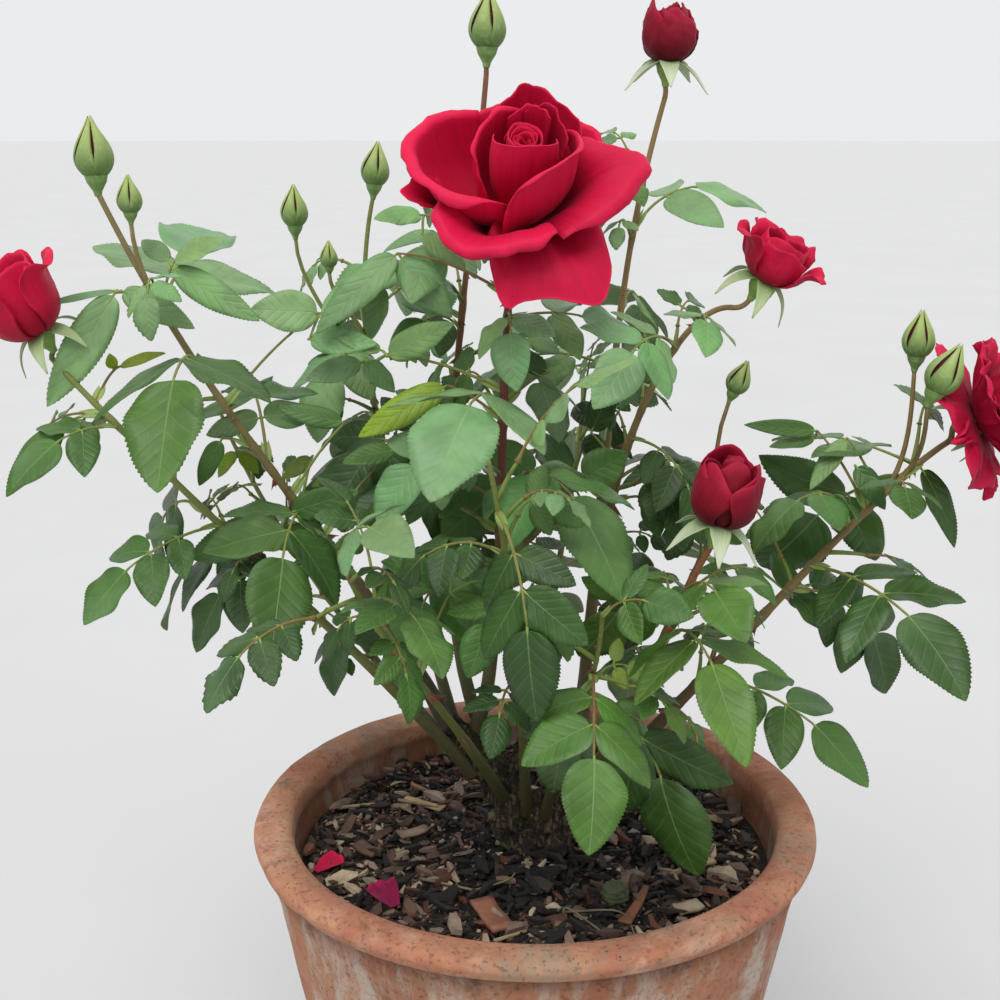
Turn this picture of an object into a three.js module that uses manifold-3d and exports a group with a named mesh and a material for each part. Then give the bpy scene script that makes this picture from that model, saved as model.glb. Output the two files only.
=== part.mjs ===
// A red garden rose bush growing in a round terracotta pot, in millimetres, +Z up.
// The origin is the centre of the pot's flat underside. +X is the bush's right and -Y its front.
import * as THREE from "three";
import { mergeVertices } from "three/addons/utils/BufferGeometryUtils.js";
import Module from "manifold-3d";

const wasm = await Module();
wasm.setup();

// Driving dimensions of the pot and its filling
const POT_HEIGHT = 250;
const RIM_RADIUS = 140;
const MOUTH_RADIUS = 118;
const FOOT_RADIUS = 84;
const ROLL_HEIGHT = 22;
const WALL_THICK = 10;
const FLOOR_THICK = 14;
const DRAIN_RADIUS = 6;
const DRAIN_CIRCLE = 46;
const SOIL_DROP = 25;
const SOIL_CROWN = 3;
const POT_SEGMENTS = 30;

// Driving dimensions of the plant
const CLEAR = 0.3;
const CANE_SIDES = 6;
const TAPER = 0.6;
const TWIG_SIDES = 3;
const RACHIS_RADIUS = 1.1;
const PETIOLULE = 1.6;
const LEAFLET_LONG = 49;
const END_WIDE = 36;
const SIDE_WIDE = 32;
const RACHIS_LONG = 75;
const BLADE_WIDEST = 0.44;
const BLADE_ARCH = 0.14;
const BLADE_FOLD = 0.12;
const LEAF_HALF_THICK = 0.7;
const LEAF_MARGIN = 0.35;
const GOLDEN_TURN = 137.5;
const TRIES = 9;

const SOIL_TOP = POT_HEIGHT - SOIL_DROP + SOIL_CROWN;
const TRUNK_FOOT = SOIL_TOP + CLEAR;

// Small vector helpers
const vec = (x, y, z) => new THREE.Vector3(x, y, z);
const UP = vec(0, 0, 1);
const SUN = vec(0, -1, 0);
const radians = THREE.MathUtils.degToRad;
const mix = (a, b, t) => a + (b - a) * t;
const unit = (v) => v.clone().normalize();
const cross = (a, b) => new THREE.Vector3().crossVectors(a, b);
const along = (p, d, s) => p.clone().addScaledVector(d, s);
const square = (v, axis) => unit(along(v, axis, -v.dot(axis)));

// Park-Miller draws between 0 and 1, the same in every run
function seeded(seed) {
  let state = seed * 7919 + 17;
  const draw = () => {
    state = (state * 16807) % 2147483647;
    return state / 2147483647;
  };
  for (let i = 0; i < 4; i++) draw();
  return draw;
}

// A closed geometry as a solid, and a solid as a geometry
function solidOf(geometry) {
  const bare = geometry.clone();
  bare.deleteAttribute("normal");
  bare.deleteAttribute("uv");
  const merged = mergeVertices(bare, 1e-4);
  return new wasm.Manifold(
    new wasm.Mesh({
      numProp: 3,
      vertProperties: new Float32Array(merged.attributes.position.array),
      triVerts: new Uint32Array(merged.index.array),
    }),
  );
}

function geometryOf(solid) {
  const mesh = solid.getMesh();
  const geometry = new THREE.BufferGeometry();
  geometry.setAttribute("position", new THREE.BufferAttribute(mesh.vertProperties.slice(), 3));
  geometry.setIndex(new THREE.BufferAttribute(mesh.triVerts.slice(), 1));
  geometry.computeVertexNormals();
  return geometry;
}

const fused = (solids) => solids.reduce((whole, next) => whole.add(next));

// The main body of a solid, with its sealed hollows filled and loose scraps dropped
const mainBody = (solid) => solid.decompose().reduce((a, b) => (a.volume() > b.volume() ? a : b));

// A tapering limb: a cylinder bent on to the stretch of a curve between two of its parameters
function limb(curve, from, to, rootRadius, tipRadius, sides, steps) {
  const geometry = new THREE.CylinderGeometry(tipRadius, rootRadius, 1, sides, steps);
  const position = geometry.attributes.position;
  for (let i = 0; i < position.count; i++) {
    const t = mix(from, to, position.getY(i) + 0.5);
    const { side, over } = frameAt(curve, t);
    const p = curve.getPoint(t);
    p.addScaledVector(side, position.getX(i)).addScaledVector(over, position.getZ(i));
    position.setXYZ(i, p.x, p.y, p.z);
  }
  return solidOf(geometry);
}

// Two directions square to a curve and to each other, turning slowly along it
function frameAt(curve, t) {
  const tangent = unit(curve.getTangent(t));
  const chord = unit(curve.getPoint(1).sub(curve.getPoint(0)));
  const still = Math.abs(chord.y) < 0.8 ? vec(0, 1, 0) : vec(1, 0, 0);
  const over = unit(cross(tangent, still));
  return { tangent, over, side: cross(tangent, over) };
}

// The cubic curve that passes a limb's foot, its lower and upper third and its tip
function curveThrough([foot, lower, upper, tip]) {
  const a = vec(...foot);
  const b = vec(...lower);
  const c = vec(...upper);
  const d = vec(...tip);
  const blend = (wa, wb, wc, wd) =>
    vec(0, 0, 0)
      .addScaledVector(a, wa / 6)
      .addScaledVector(b, wb / 6)
      .addScaledVector(c, wc / 6)
      .addScaledVector(d, wd / 6);
  return new THREE.CubicBezierCurve3(a, blend(-5, 18, -9, 2), blend(2, -9, 18, -5), d);
}

// Oriented boxes keep each leaf clear of everything else that grows
function boxAround(centre, axes, halves) {
  return { centre, axes, halves, reach: Math.hypot(...halves) };
}

function boxesMeet(p, q) {
  const gap = q.centre.clone().sub(p.centre);
  if (gap.length() > p.reach + q.reach) return false;
  const spread = (box, axis) =>
    box.axes.reduce((sum, edge, i) => sum + Math.abs(edge.dot(axis)) * box.halves[i], 0);
  const parts = (axis) => Math.abs(gap.dot(axis)) > spread(p, axis) + spread(q, axis);
  if (p.axes.some(parts) || q.axes.some(parts)) return false;
  for (const a of p.axes)
    for (const b of q.axes) {
      const axis = cross(a, b);
      if (axis.length() > 1e-6 && parts(axis)) return false;
    }
  return true;
}

// A straight box along a limb from p to q
function boxAlong(p, q, radius) {
  const axis = unit(q.clone().sub(p));
  const side = unit(cross(axis, Math.abs(axis.z) < 0.9 ? UP : vec(1, 0, 0)));
  const centre = p.clone().add(q).multiplyScalar(0.5);
  const half = p.distanceTo(q) / 2;
  return boxAround(centre, [axis, side, cross(axis, side)], [half, radius, radius]);
}

function boxesOfCurve(curve, from, to, radius, count) {
  const boxes = [];
  for (let i = 0; i < count; i++) {
    const p = curve.getPoint(mix(from, to, i / count));
    const q = curve.getPoint(mix(from, to, (i + 1) / count));
    boxes.push(boxAlong(p, q, radius + LEAF_MARGIN));
  }
  return boxes;
}

// One leaflet: a root, a direction, an upper side, a length and a width. Its blade arches down
// along its length and folds up a little from its midrib.
function bladePoint(leaflet, u, v) {
  const { root, ahead, face, long, wide, arch, fold } = leaflet;
  const side = cross(ahead, face);
  return along(root, ahead, u * long)
    .addScaledVector(side, (v * wide) / 2)
    .addScaledVector(face, ((fold * Math.abs(v) * wide) / 2) - arch * long * u * u);
}

function bladeBox(leaflet) {
  const tip = bladePoint(leaflet, 1, 0);
  const chord = tip.clone().sub(leaflet.root);
  const ahead = unit(chord);
  const face = square(leaflet.face, ahead);
  const centre = bladePoint(leaflet, 0.5, 0).lerp(leaflet.root.clone().lerp(tip, 0.5), 0.5);
  const rise = (leaflet.arch * leaflet.long) / 8 + (leaflet.fold * leaflet.wide) / 5;
  const halves = [chord.length() / 2, leaflet.wide / 2 + LEAF_MARGIN, rise + LEAF_HALF_THICK + LEAF_MARGIN];
  return boxAround(centre, [ahead, cross(ahead, face), face], halves);
}

// A whole rose leaf: an arching rachis with one leaflet at its tip and pairs along it
function compoundLeaf(root, outward, size, sag, roll, pairs) {
  const long = mix(0.66, 1, pairs - 1) * RACHIS_LONG * size;
  const knee = along(root, outward, long * 0.5);
  const drooped = unit(along(outward, UP, -sag));
  const curve = new THREE.QuadraticBezierCurve3(root, knee, along(knee, drooped, long * 0.5));
  const upper = square(along(along(UP, outward, 0.5), SUN, 0.7), drooped).applyAxisAngle(drooped, roll);
  const leaflet = (at, swing, share) => {
    const stem = unit(curve.getTangent(at));
    const face = square(upper, stem);
    const side = cross(stem, face);
    const ahead = unit(along(stem.clone().multiplyScalar(Math.cos(swing)), side, Math.sin(swing)));
    const hung = unit(along(ahead, UP, -0.3 * sag));
    return {
      root: curve.getPoint(at),
      ahead: hung,
      face: square(face, hung),
      long: LEAFLET_LONG * size * share,
      wide: (swing === 0 ? END_WIDE : SIDE_WIDE) * size * share,
      arch: BLADE_ARCH,
      fold: BLADE_FOLD,
    };
  };
  const stations = [];
  for (let pair = pairs - 1; pair >= 0; pair--) {
    const at = pairs === 1 ? 0.62 : 0.74 - pair * 0.3;
    const share = 0.86 - pair * 0.15;
    const swing = radians(64 + 8 * pair);
    const base = PETIOLULE / long;
    const left = leaflet(at, -swing, share);
    const right = leaflet(at, swing, share);
    stations.push({ from: at - base, to: at + base, left, right });
  }
  const end = leaflet(1, 0, 1);
  return { curve, upper, stations, end, leaflets: [end, ...stations.flatMap((s) => [s.left, s.right])] };
}

function leafBoxes(leaf) {
  return [
    ...boxesOfCurve(leaf.curve, 0.12, 1, RACHIS_RADIUS, 3),
    ...leaf.leaflets.map(bladeBox),
  ];
}

// A leaf's solid is drawn as one closed skin: a rachis of three sides, opened at each leaflet's
// foot, and for each blade a fan of faces above and another below
function leafSolid(leaf) {
  const corners = [];
  const fan = (hub, cycle) =>
    cycle.forEach((p, i) => corners.push(hub, p, cycle[(i + 1) % cycle.length]));
  const quad = (p, q, r, s) => corners.push(p, q, r, p, r, s);
  const ring = (at) => {
    const stem = unit(leaf.curve.getTangent(at));
    const face = square(leaf.upper, stem);
    const side = cross(stem, face);
    const middle = leaf.curve.getPoint(at);
    const r = RACHIS_RADIUS * mix(1.2, 0.8, at);
    return {
      left: along(along(middle, side, -r), face, r * 0.5),
      right: along(along(middle, side, r), face, r * 0.5),
      keel: along(middle, face, -r),
    };
  };
  const rachis = (near, far) => {
    quad(near.right, far.right, far.left, near.left);
    quad(near.left, far.left, far.keel, near.keel);
    quad(far.right, near.right, near.keel, far.keel);
  };
  const blade = (leaflet, topFoot, keelFoot) => {
    const hub = bladePoint(leaflet, BLADE_WIDEST, 0);
    const corner = [
      [BLADE_WIDEST, 1],
      [1, 0],
      [BLADE_WIDEST, -1],
    ];
    const outline = corner.map(([u, v]) => bladePoint(leaflet, u, v));
    fan(along(hub, leaflet.face, LEAF_HALF_THICK), [...topFoot, ...outline]);
    fan(along(hub, leaflet.face, -LEAF_HALF_THICK), [...outline.reverse(), ...keelFoot]);
  };
  let last = ring(0);
  corners.push(last.right, last.left, last.keel);
  leaf.stations.forEach(({ from, to, left, right }) => {
    const near = ring(from);
    const far = ring(to);
    rachis(last, near);
    quad(near.right, far.right, far.left, near.left);
    blade(left, [near.left, far.left], [far.left, far.keel, near.keel, near.left]);
    blade(right, [far.right, near.right], [near.right, near.keel, far.keel, far.right]);
    last = far;
  });
  const tip = ring(1);
  rachis(last, tip);
  blade(leaf.end, [tip.left, tip.right], [tip.right, tip.keel, tip.left]);
  return solidOf(new THREE.BufferGeometry().setFromPoints(corners));
}

// Leaves stay above the pot's rim while they are over the pot
const HANG_LIMIT = POT_HEIGHT + 3;
const OVER_POT = RIM_RADIUS + 8;
const OUTER_LIMIT = POT_HEIGHT - 30;

// At the front left the bush is bare to this height, so the fork and the soil show
const CLEARING_EDGE = 8;
const CLEARING_TOP = POT_HEIGHT + 56;

function hangsFree(box) {
  const drop = box.axes.reduce((sum, edge, i) => sum + Math.abs(edge.z) * box.halves[i], 0);
  const { x, y, z } = box.centre;
  if (Math.hypot(x, y) - box.halves[0] > OVER_POT) return z - drop > OUTER_LIMIT;
  return z - drop > (x < CLEARING_EDGE && y < 0 ? CLEARING_TOP : HANG_LIMIT);
}

// The canes, each by its foot, its lower and upper third and its tip, with the radii at its foot
// and tip, the share of it that is bare, the leaves it bears, their size, the first leaf's turn
// and what stands at its tip.
const CANES = [
  {
    name: "left_low",
    route: [[-31, 4, 264], [-84, -14, 334], [-156, -24, 414], [-222, -12, 480]],
    radii: [4.2, 2.0],
    bare: 0.3,
    leaves: 4,
    size: 0.86,
    turn: 205,
    ends: "flower",
  },
  {
    name: "left_tall",
    route: [[-43, 11, 286], [-88, 12, 364], [-143, 4, 448], [-198, -2, 553]],
    radii: [5.4, 2.1],
    bare: 0.36,
    leaves: 6,
    size: 1.0,
    turn: 250,
    ends: "bud",
  },
  {
    name: "centre",
    route: [[-31, 12, 282], [-19, 2, 354], [-16, -4, 446], [-10, -4, 538]],
    radii: [4.4, 2.7],
    bare: 0.26,
    leaves: 6,
    size: 0.98,
    turn: 300,
    ends: "flower",
  },
  {
    name: "back_centre",
    route: [[-20, 21, 267], [-43, 46, 362], [-37, 62, 486], [-24, 66, 606]],
    radii: [4.4, 2.0],
    bare: 0.3,
    leaves: 7,
    size: 0.9,
    turn: 20,
    ends: "bud",
  },
  {
    name: "back_left",
    route: [[-40, 20, 280], [-66, 76, 352], [-88, 112, 448], [-86, 128, 545]],
    radii: [4.2, 1.8],
    bare: 0.3,
    leaves: 7,
    size: 0.92,
    turn: 100,
    ends: "bud",
  },
  {
    name: "right_back",
    route: [[20, 16, 257], [34, 44, 390], [44, 60, 496], [63, 62, 596]],
    radii: [4.4, 2.0],
    bare: 0.3,
    leaves: 6,
    size: 0.92,
    turn: 70,
    ends: "flower",
  },
  {
    name: "right_upper",
    route: [[26, 9, 261], [34, 14, 390], [60, 6, 474], [89, -6, 502]],
    radii: [4.0, 2.0],
    bare: 0.34,
    leaves: 5,
    size: 0.9,
    turn: 350,
    ends: "flower",
  },
  {
    name: "right_main",
    route: [[28, 3, 256], [82, 2, 316], [146, 2, 390], [197, 6, 437]],
    radii: [4.8, 2.3],
    bare: 0.34,
    leaves: 4,
    size: 0.98,
    turn: 330,
    ends: "flower",
  },
  {
    name: "front_right",
    route: [[17, -3, 251], [46, -38, 322], [61, -58, 372], [74, -68, 408]],
    radii: [4.0, 2.2],
    bare: 0.32,
    leaves: 5,
    size: 1.0,
    turn: 280,
    ends: "flower",
  },
  {
    name: "front_middle",
    route: [[-4, -6, 247], [-8, -44, 330], [-14, -68, 396], [-22, -82, 448]],
    radii: [3.6, 1.7],
    bare: 0.42,
    leaves: 4,
    size: 0.98,
    turn: 300,
    ends: "shoot",
  },
  {
    name: "front_left",
    route: [[-15, -4, 254], [-42, -46, 318], [-68, -80, 372], [-82, -104, 416]],
    radii: [3.6, 1.6],
    bare: 0.42,
    leaves: 6,
    size: 0.98,
    turn: 240,
    ends: "shoot",
  },
  {
    name: "back_low",
    route: [[7, 15, 251], [10, 78, 318], [24, 126, 384], [30, 150, 446]],
    radii: [3.8, 1.7],
    bare: 0.32,
    leaves: 7,
    size: 0.95,
    turn: 45,
    ends: "shoot",
  },
  {
    name: "back_right",
    route: [[29, 15, 256], [74, 62, 324], [112, 98, 398], [128, 112, 462]],
    radii: [4.0, 1.8],
    bare: 0.32,
    leaves: 7,
    size: 0.95,
    turn: 10,
    ends: "bud",
  },
  {
    name: "back_low_left",
    route: [[-23, 16, 257], [-84, 56, 306], [-136, 84, 370], [-168, 96, 432]],
    radii: [3.8, 1.6],
    bare: 0.34,
    leaves: 6,
    size: 0.92,
    turn: 150,
    ends: "shoot",
  },
  {
    name: "front_centre",
    route: [[5, -10, 248], [14, -48, 306], [22, -72, 344], [26, -88, 384]],
    radii: [3.2, 1.5],
    bare: 0.36,
    leaves: 3,
    size: 0.95,
    turn: 200,
    ends: "shoot",
  },
];

// The woody crown that every cane springs from: a flared foot and two arms
const FOOT_FLARE = 21;
const FLARE_TOP = 13;
const FLARE_HEIGHT = 13;
const TRUNK_PARTS = [
  { route: [[0, 0, TRUNK_FOOT], [-7, 2, 243], [-20, 6, 262], [-41, 12, 286]], radii: [14, 6.6] },
  { route: [[0, 0, TRUNK_FOOT], [8, 1, 238], [17, 3, 248], [26, 7, 262]], radii: [13, 6.4] },
];
const KNOBS = [
  [-41, 12, 286, 9],
  [26, 7, 262, 9],
  [-33, 6, 280, 8.5],
  [-38, 16, 278, 8.5],
  [-18, 12, 255, 9],
  [-13, 0, 249, 9],
  [-20, 14, 266, 9],
  [24, 12, 256, 8.5],
  [8, 10, 248, 9],
  [5, -7, 243, 9.5],
];

function trunkSolid(grow) {
  const high = FLARE_HEIGHT + grow;
  const flare = new THREE.CylinderGeometry(FLARE_TOP + grow, FOOT_FLARE + grow, high, 10, 1);
  flare.rotateX(Math.PI / 2).translate(0, 0, TRUNK_FOOT + high / 2);
  const arms = TRUNK_PARTS.map(({ route, radii: [root, tip] }) =>
    limb(curveThrough(route), 0, 1, root + grow, tip + grow, 8, 3),
  );
  const knobs = KNOBS.map(([x, y, z, r]) =>
    solidOf(new THREE.IcosahedronGeometry(r + grow, 0).translate(x, y, z)),
  );
  return fused([solidOf(flare), ...arms, ...knobs]);
}

// All that lies below the trunk's foot, to cut it flat there
function below(height) {
  const block = new THREE.BoxGeometry(200, 200, 100);
  return solidOf(block.translate(0, 0, height - 50));
}

// The pruned stubs beside the living canes
const STUBS = [
  {
    name: "pruned_stub_back",
    route: [[-14, 8, 262], [-8, 12, 272], [-2, 17, 284], [2, 21, 293]],
    radii: [4.6, 3],
  },
  {
    name: "pruned_stub_front",
    route: [[-9, -8, 238], [-13, -14, 245], [-17, -20, 252], [-20, -25, 259]],
    radii: [4.6, 3.4],
  },
];

// Where a flower stands, how wide it is, which way it faces and its petals
const FLOWERS = {
  centre: { face: [0.06, -0.66, 0.75], petals: "open", radius: 46 },
  left_low: { face: [-0.42, -0.3, 0.85], petals: "cupped", radius: 26 },
  right_main: { face: [0.74, -0.52, 0.42], petals: "blowsy", radius: 31 },
  right_upper: { face: [0.62, -0.2, 0.76], petals: "cupped", radius: 23 },
  right_back: { face: [0.06, -0.04, 1], petals: "closed", radius: 14 },
  front_right: { face: [0.2, -0.1, 0.98], petals: "closed", radius: 17.5 },
};

// Each ring is one ruffled bowl of petals: how many, the turn of the first's edge (or the turns of
// all the edges, where they aren't evenly spaced), the petals' lean from the flower's axis at the
// foot, the middle and the rim, in degrees, their length as a share of the flower's radius, how
// deep the notches between them are cut and how far up the axis the ring starts. Where petals
// differ, each has its own share of the length and its own droop in degrees.
const PETAL_RINGS = {
  open: [
    { count: 3, turn: 40, lean: [74, 8, 22], long: 1.12, notch: 0.18, lift: 5 },
    { count: 4, turn: 10, lean: [80, 38, 92], long: 1.26, notch: 0.3, lift: 2.5 },
    {
      count: 5,
      edges: [-30, 55, 125, 195, 252],
      lean: [88, 68, 112],
      long: 1.42,
      notch: 0.36,
      lift: 0,
      sizes: [0.96, 0.86, 1, 0.9, 0.94],
      droops: [-6, -26, 0, 12, 22],
    },
  ],
  blowsy: [
    { count: 4, turn: 20, lean: [80, 30, 84], long: 1.36, notch: 0.34, lift: 2.5 },
    {
      count: 5,
      edges: [10, 85, 150, 225, 290],
      lean: [88, 66, 116],
      long: 1.5,
      notch: 0.42,
      lift: 0,
      sizes: [1, 0.9, 1, 1.05, 0.92],
      droops: [0, -16, 4, 22, 8],
    },
  ],
  cupped: [
    { count: 3, turn: 0, lean: [70, 4, 6], long: 1.62, notch: 0.16, lift: 3 },
    { count: 4, turn: 45, lean: [84, 10, 84], long: 1.72, notch: 0.44, lift: 0 },
  ],
  closed: [{ count: 3, turn: 30, lean: [80, 4, 40], long: 2.1, notch: 0.3, lift: 0 }],
};
const CORE_SHARE = { open: [0.42, 0.98], blowsy: [0.4, 0.86], cupped: [0.8, 1.3], closed: [0.95, 1.9] };
const HIP_RADIUS = 5.5;
const HIP_LONG = 11;
const SEPAL_REACH = 19;
const SEPAL_HANG = 9;
const PETAL_THICK = 1.3;
const PETAL_STEPS = 3;
const STEPS_ROUND_PETAL = 4;

// A petal's lean from the flower's axis at share u of its length
function petalLean([foot, middle, rim], u) {
  if (u < 0.5) return radians(mix(foot, middle, THREE.MathUtils.smoothstep(u, 0, 0.5)));
  return radians(mix(middle, rim, (2 * u - 1) ** 1.5));
}

// The direction round the flower, in degrees, at a place counted in petals from the first's edge
function petalTurn(ring, place) {
  const even = (_, k) => ring.turn + (360 / ring.count) * k;
  const edges = ring.edges ?? Array.from({ length: ring.count }, even);
  const petal = Math.floor(place);
  const next = petal + 1 < ring.count ? edges[petal + 1] : edges[0] + 360;
  return mix(edges[petal], next, place - petal);
}

// A ring of petals: a lathed bowl whose every meridian is drawn again to its own length and lean
function petalRing(ring, radius) {
  const rows = PETAL_STEPS + 1;
  const columns = ring.count * STEPS_ROUND_PETAL;
  const profile = Array.from({ length: 2 * rows }, (_, j) => {
    const r = j === 0 || j === 2 * rows - 1 ? 0 : 1;
    return new THREE.Vector2(r, j);
  });
  const geometry = new THREE.LatheGeometry(profile, columns);
  const { position, uv } = geometry.attributes;
  for (let i = 0; i < position.count; i++) {
    const column = Math.round(uv.getX(i) * columns) % columns;
    const row = Math.round(uv.getY(i) * (2 * rows - 1));
    const inner = row >= rows;
    const step = inner ? 2 * rows - 1 - row : row;
    const v = 2 * ((column / STEPS_ROUND_PETAL) % 1) - 1;
    const full = 1 - Math.abs(v) ** 2.4;
    const petal = Math.floor(column / STEPS_ROUND_PETAL);
    const grown = mix(1, ring.sizes ? ring.sizes[petal] : 1, full);
    const droop = ring.droops ? ring.droops[petal] * full : 0;
    const long = ring.long * radius * grown * (1 - ring.notch * (1 - full));
    const [foot, middle, rim] = ring.lean;
    const lean = [foot, middle + droop, mix(middle, rim, full) + droop];
    let out = 0;
    let up = ring.lift;
    for (let k = 1; k <= step; k++) {
      const angle = petalLean(lean, (k - 0.5) / PETAL_STEPS);
      out += (Math.sin(angle) * long) / PETAL_STEPS;
      up += (Math.cos(angle) * long) / PETAL_STEPS;
    }
    if (inner) {
      const angle = petalLean(lean, step / PETAL_STEPS);
      out = step === 0 ? 0 : out - Math.cos(angle) * PETAL_THICK;
      up += Math.max(Math.sin(angle), 0.35) * PETAL_THICK;
    }
    const turn = radians(petalTurn(ring, column / STEPS_ROUND_PETAL));
    position.setXYZ(i, out * Math.cos(turn), out * Math.sin(turn), up);
  }
  const solid = solidOf(geometry);
  return solid.volume() > 0 ? solid : solidOf(turnedInsideOut(geometry));
}

function turnedInsideOut(geometry) {
  const order = geometry.index.array;
  for (let i = 0; i < order.length; i += 3) [order[i], order[i + 1]] = [order[i + 1], order[i]];
  return geometry;
}

// The flower before it is placed: its foot is at the origin and it faces +Z
function flowerSolid({ petals, radius }) {
  const [girth, height] = CORE_SHARE[petals];
  const core = [
    [0, 0],
    [0.5, 0],
    [1, 0.4],
    [0.72, 0.86],
    [0, 1],
  ].map(([r, h]) => new THREE.Vector2(r * girth * radius, h * height * radius));
  const cone = new THREE.LatheGeometry(core, 9).rotateX(Math.PI / 2);
  const rings = PETAL_RINGS[petals].map((ring) => petalRing(ring, radius));
  return fused([solidOf(cone), ...rings]);
}

// Turns a thing that faces +Z to face a direction, and moves it to a place
function placed(solid, at, face) {
  const turn = new THREE.Quaternion().setFromUnitVectors(UP, face);
  const geometry = geometryOf(solid).applyQuaternion(turn).translate(at.x, at.y, at.z);
  return solidOf(geometry);
}

// The green hip under a flower, on its stem's tip, with five sepals hanging back from it. It is a
// lathed hip whose widest ring is drawn out at every second corner.
function hipSolid(at, face) {
  const profile = [
    [0, -1],
    [1.6, -1],
    [HIP_RADIUS * 0.9, HIP_LONG * 0.45],
    [HIP_RADIUS, HIP_LONG * 0.72],
    [HIP_RADIUS * 0.8, HIP_LONG],
    [0, HIP_LONG],
  ].map(([r, h]) => new THREE.Vector2(r, h));
  const geometry = new THREE.LatheGeometry(profile, 10);
  const { position, uv } = geometry.attributes;
  for (let i = 0; i < position.count; i++) {
    const drawn = Math.round(uv.getX(i) * 10) % 2 === 0 && Math.round(uv.getY(i) * 5) === 3;
    if (!drawn) continue;
    const reach = SEPAL_REACH / HIP_RADIUS;
    position.setXYZ(i, position.getX(i) * reach, HIP_LONG * 0.72 - SEPAL_HANG, position.getZ(i) * reach);
  }
  return placed(solidOf(geometry.rotateX(Math.PI / 2)), at, face);
}

// An unopened bud: a round calyx drawn out to a pointed tip
const BUD_RADIUS = 7.5;
const BUD_LONG = 30;

function budSolid(at, face, size) {
  const profile = [
    [0, -1],
    [1.8, -1],
    [4.6, 4],
    [BUD_RADIUS, 13],
    [BUD_RADIUS * 0.7, 20],
    [0, BUD_LONG],
  ].map(([r, h]) => new THREE.Vector2(r * size, h * size));
  return placed(solidOf(new THREE.LatheGeometry(profile, 6).rotateX(Math.PI / 2)), at, face);
}

// Side twigs that carry a second bud: the cane, the share of it where they leave, and the tip
const BUD_TWIGS = [
  { cane: "left_tall", at: 0.72, tip: [-183, -6, 540], size: 0.72 },
  { cane: "right_main", at: 0.76, tip: [171, 4, 473], size: 0.9 },
  { cane: "right_main", at: 0.82, tip: [174, -20, 458], size: 0.95 },
  { cane: "right_upper", at: 0.55, tip: [92, 14, 446], size: 0.8 },
  { cane: "back_left", at: 0.6, tip: [-128, 122, 524], size: 0.95 },
  { cane: "back_left", at: 0.72, tip: [-108, 104, 506], size: 0.6 },
];

function budTwig(cane, twig) {
  const root = cane.curve.getPoint(twig.at);
  const tip = vec(...twig.tip);
  const knee = along(root, unit(cane.curve.getTangent(twig.at)), root.distanceTo(tip) * 0.45);
  return new THREE.QuadraticBezierCurve3(root, knee, tip);
}

// Grows every cane: first the limbs, twigs and flowers, then the leaves in the room they leave,
// those with a place of their own before the others
function growCanes() {
  const canes = CANES.map((cane) => {
    const curve = curveThrough(cane.route);
    const tip = curve.getPoint(1);
    const flower = FLOWERS[cane.name];
    const face = flower ? unit(vec(...flower.face)) : unit(curve.getTangent(1));
    return { ...cane, curve, tip, flower, face, grown: [] };
  });
  canes.forEach((cane) => {
    cane.twigs = BUD_TWIGS.filter((twig) => twig.cane === cane.name).map((twig) => ({
      ...twig,
      curve: budTwig(cane, twig),
    }));
  });
  const taken = canes.flatMap((cane) => limbBoxes(cane));
  PLACED_LEAVES.forEach((leaf) => placeLeaf(canes, leaf, taken));
  for (let order = 0; order < 12; order++)
    canes.forEach((cane, index) => {
      if (order < cane.leaves) growLeaf(cane, index, order, taken);
    });
  return canes;
}

// The boxes of a cane, its twigs and what stands on them. Each knows the cane it belongs to.
function limbBoxes(cane) {
  const mark = (boxes) => boxes.map((box) => ({ ...box, cane: cane.name }));
  const boxes = [
    ...mark(boxesOfCurve(cane.curve, 0, 1, cane.radii[0] * 0.8, 12)),
    ...cane.twigs.flatMap((twig) => boxesOfCurve(twig.curve, 0.1, 1, 1.6, 4)),
    ...cane.twigs.map((twig) => standing(vec(...twig.tip), twig.curve.getTangent(1), 8, 34)),
  ];
  if (cane.flower) {
    const reach = cane.flower.radius;
    const depth = CORE_SHARE[cane.flower.petals][1] * reach;
    boxes.push(standing(cane.tip, cane.face, reach * 1.08, depth + HIP_LONG));
  }
  if (cane.ends === "bud") boxes.push(standing(cane.tip, cane.face, 8, 34));
  return boxes;
}

function standing(foot, face, radius, height) {
  return boxAlong(along(foot, unit(face), 1), along(foot, unit(face), height), radius);
}

// The range of each thing drawn for a leaf: its rise from the cane in degrees, its size, how far
// its rachis sags, and its roll in radians. A leaf that meets something is turned on and shrunk.
const LIFT = [18, 52];
const SHOOT_TIP_LIFT = 20;
const SIZE = [0.8, 1.12];
const SAG = [0.7, 1.6];
const ROLL = [-0.5, 0.5];
const THREE_LEAFLETS = 0.22;
const TURN_JITTER = 24;
const RETRY_TURN = 40;
const RETRY_SHRINK = 0.045;
const YOUNGEST = 0.66;
const LAST_LEAF = 0.9;

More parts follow.
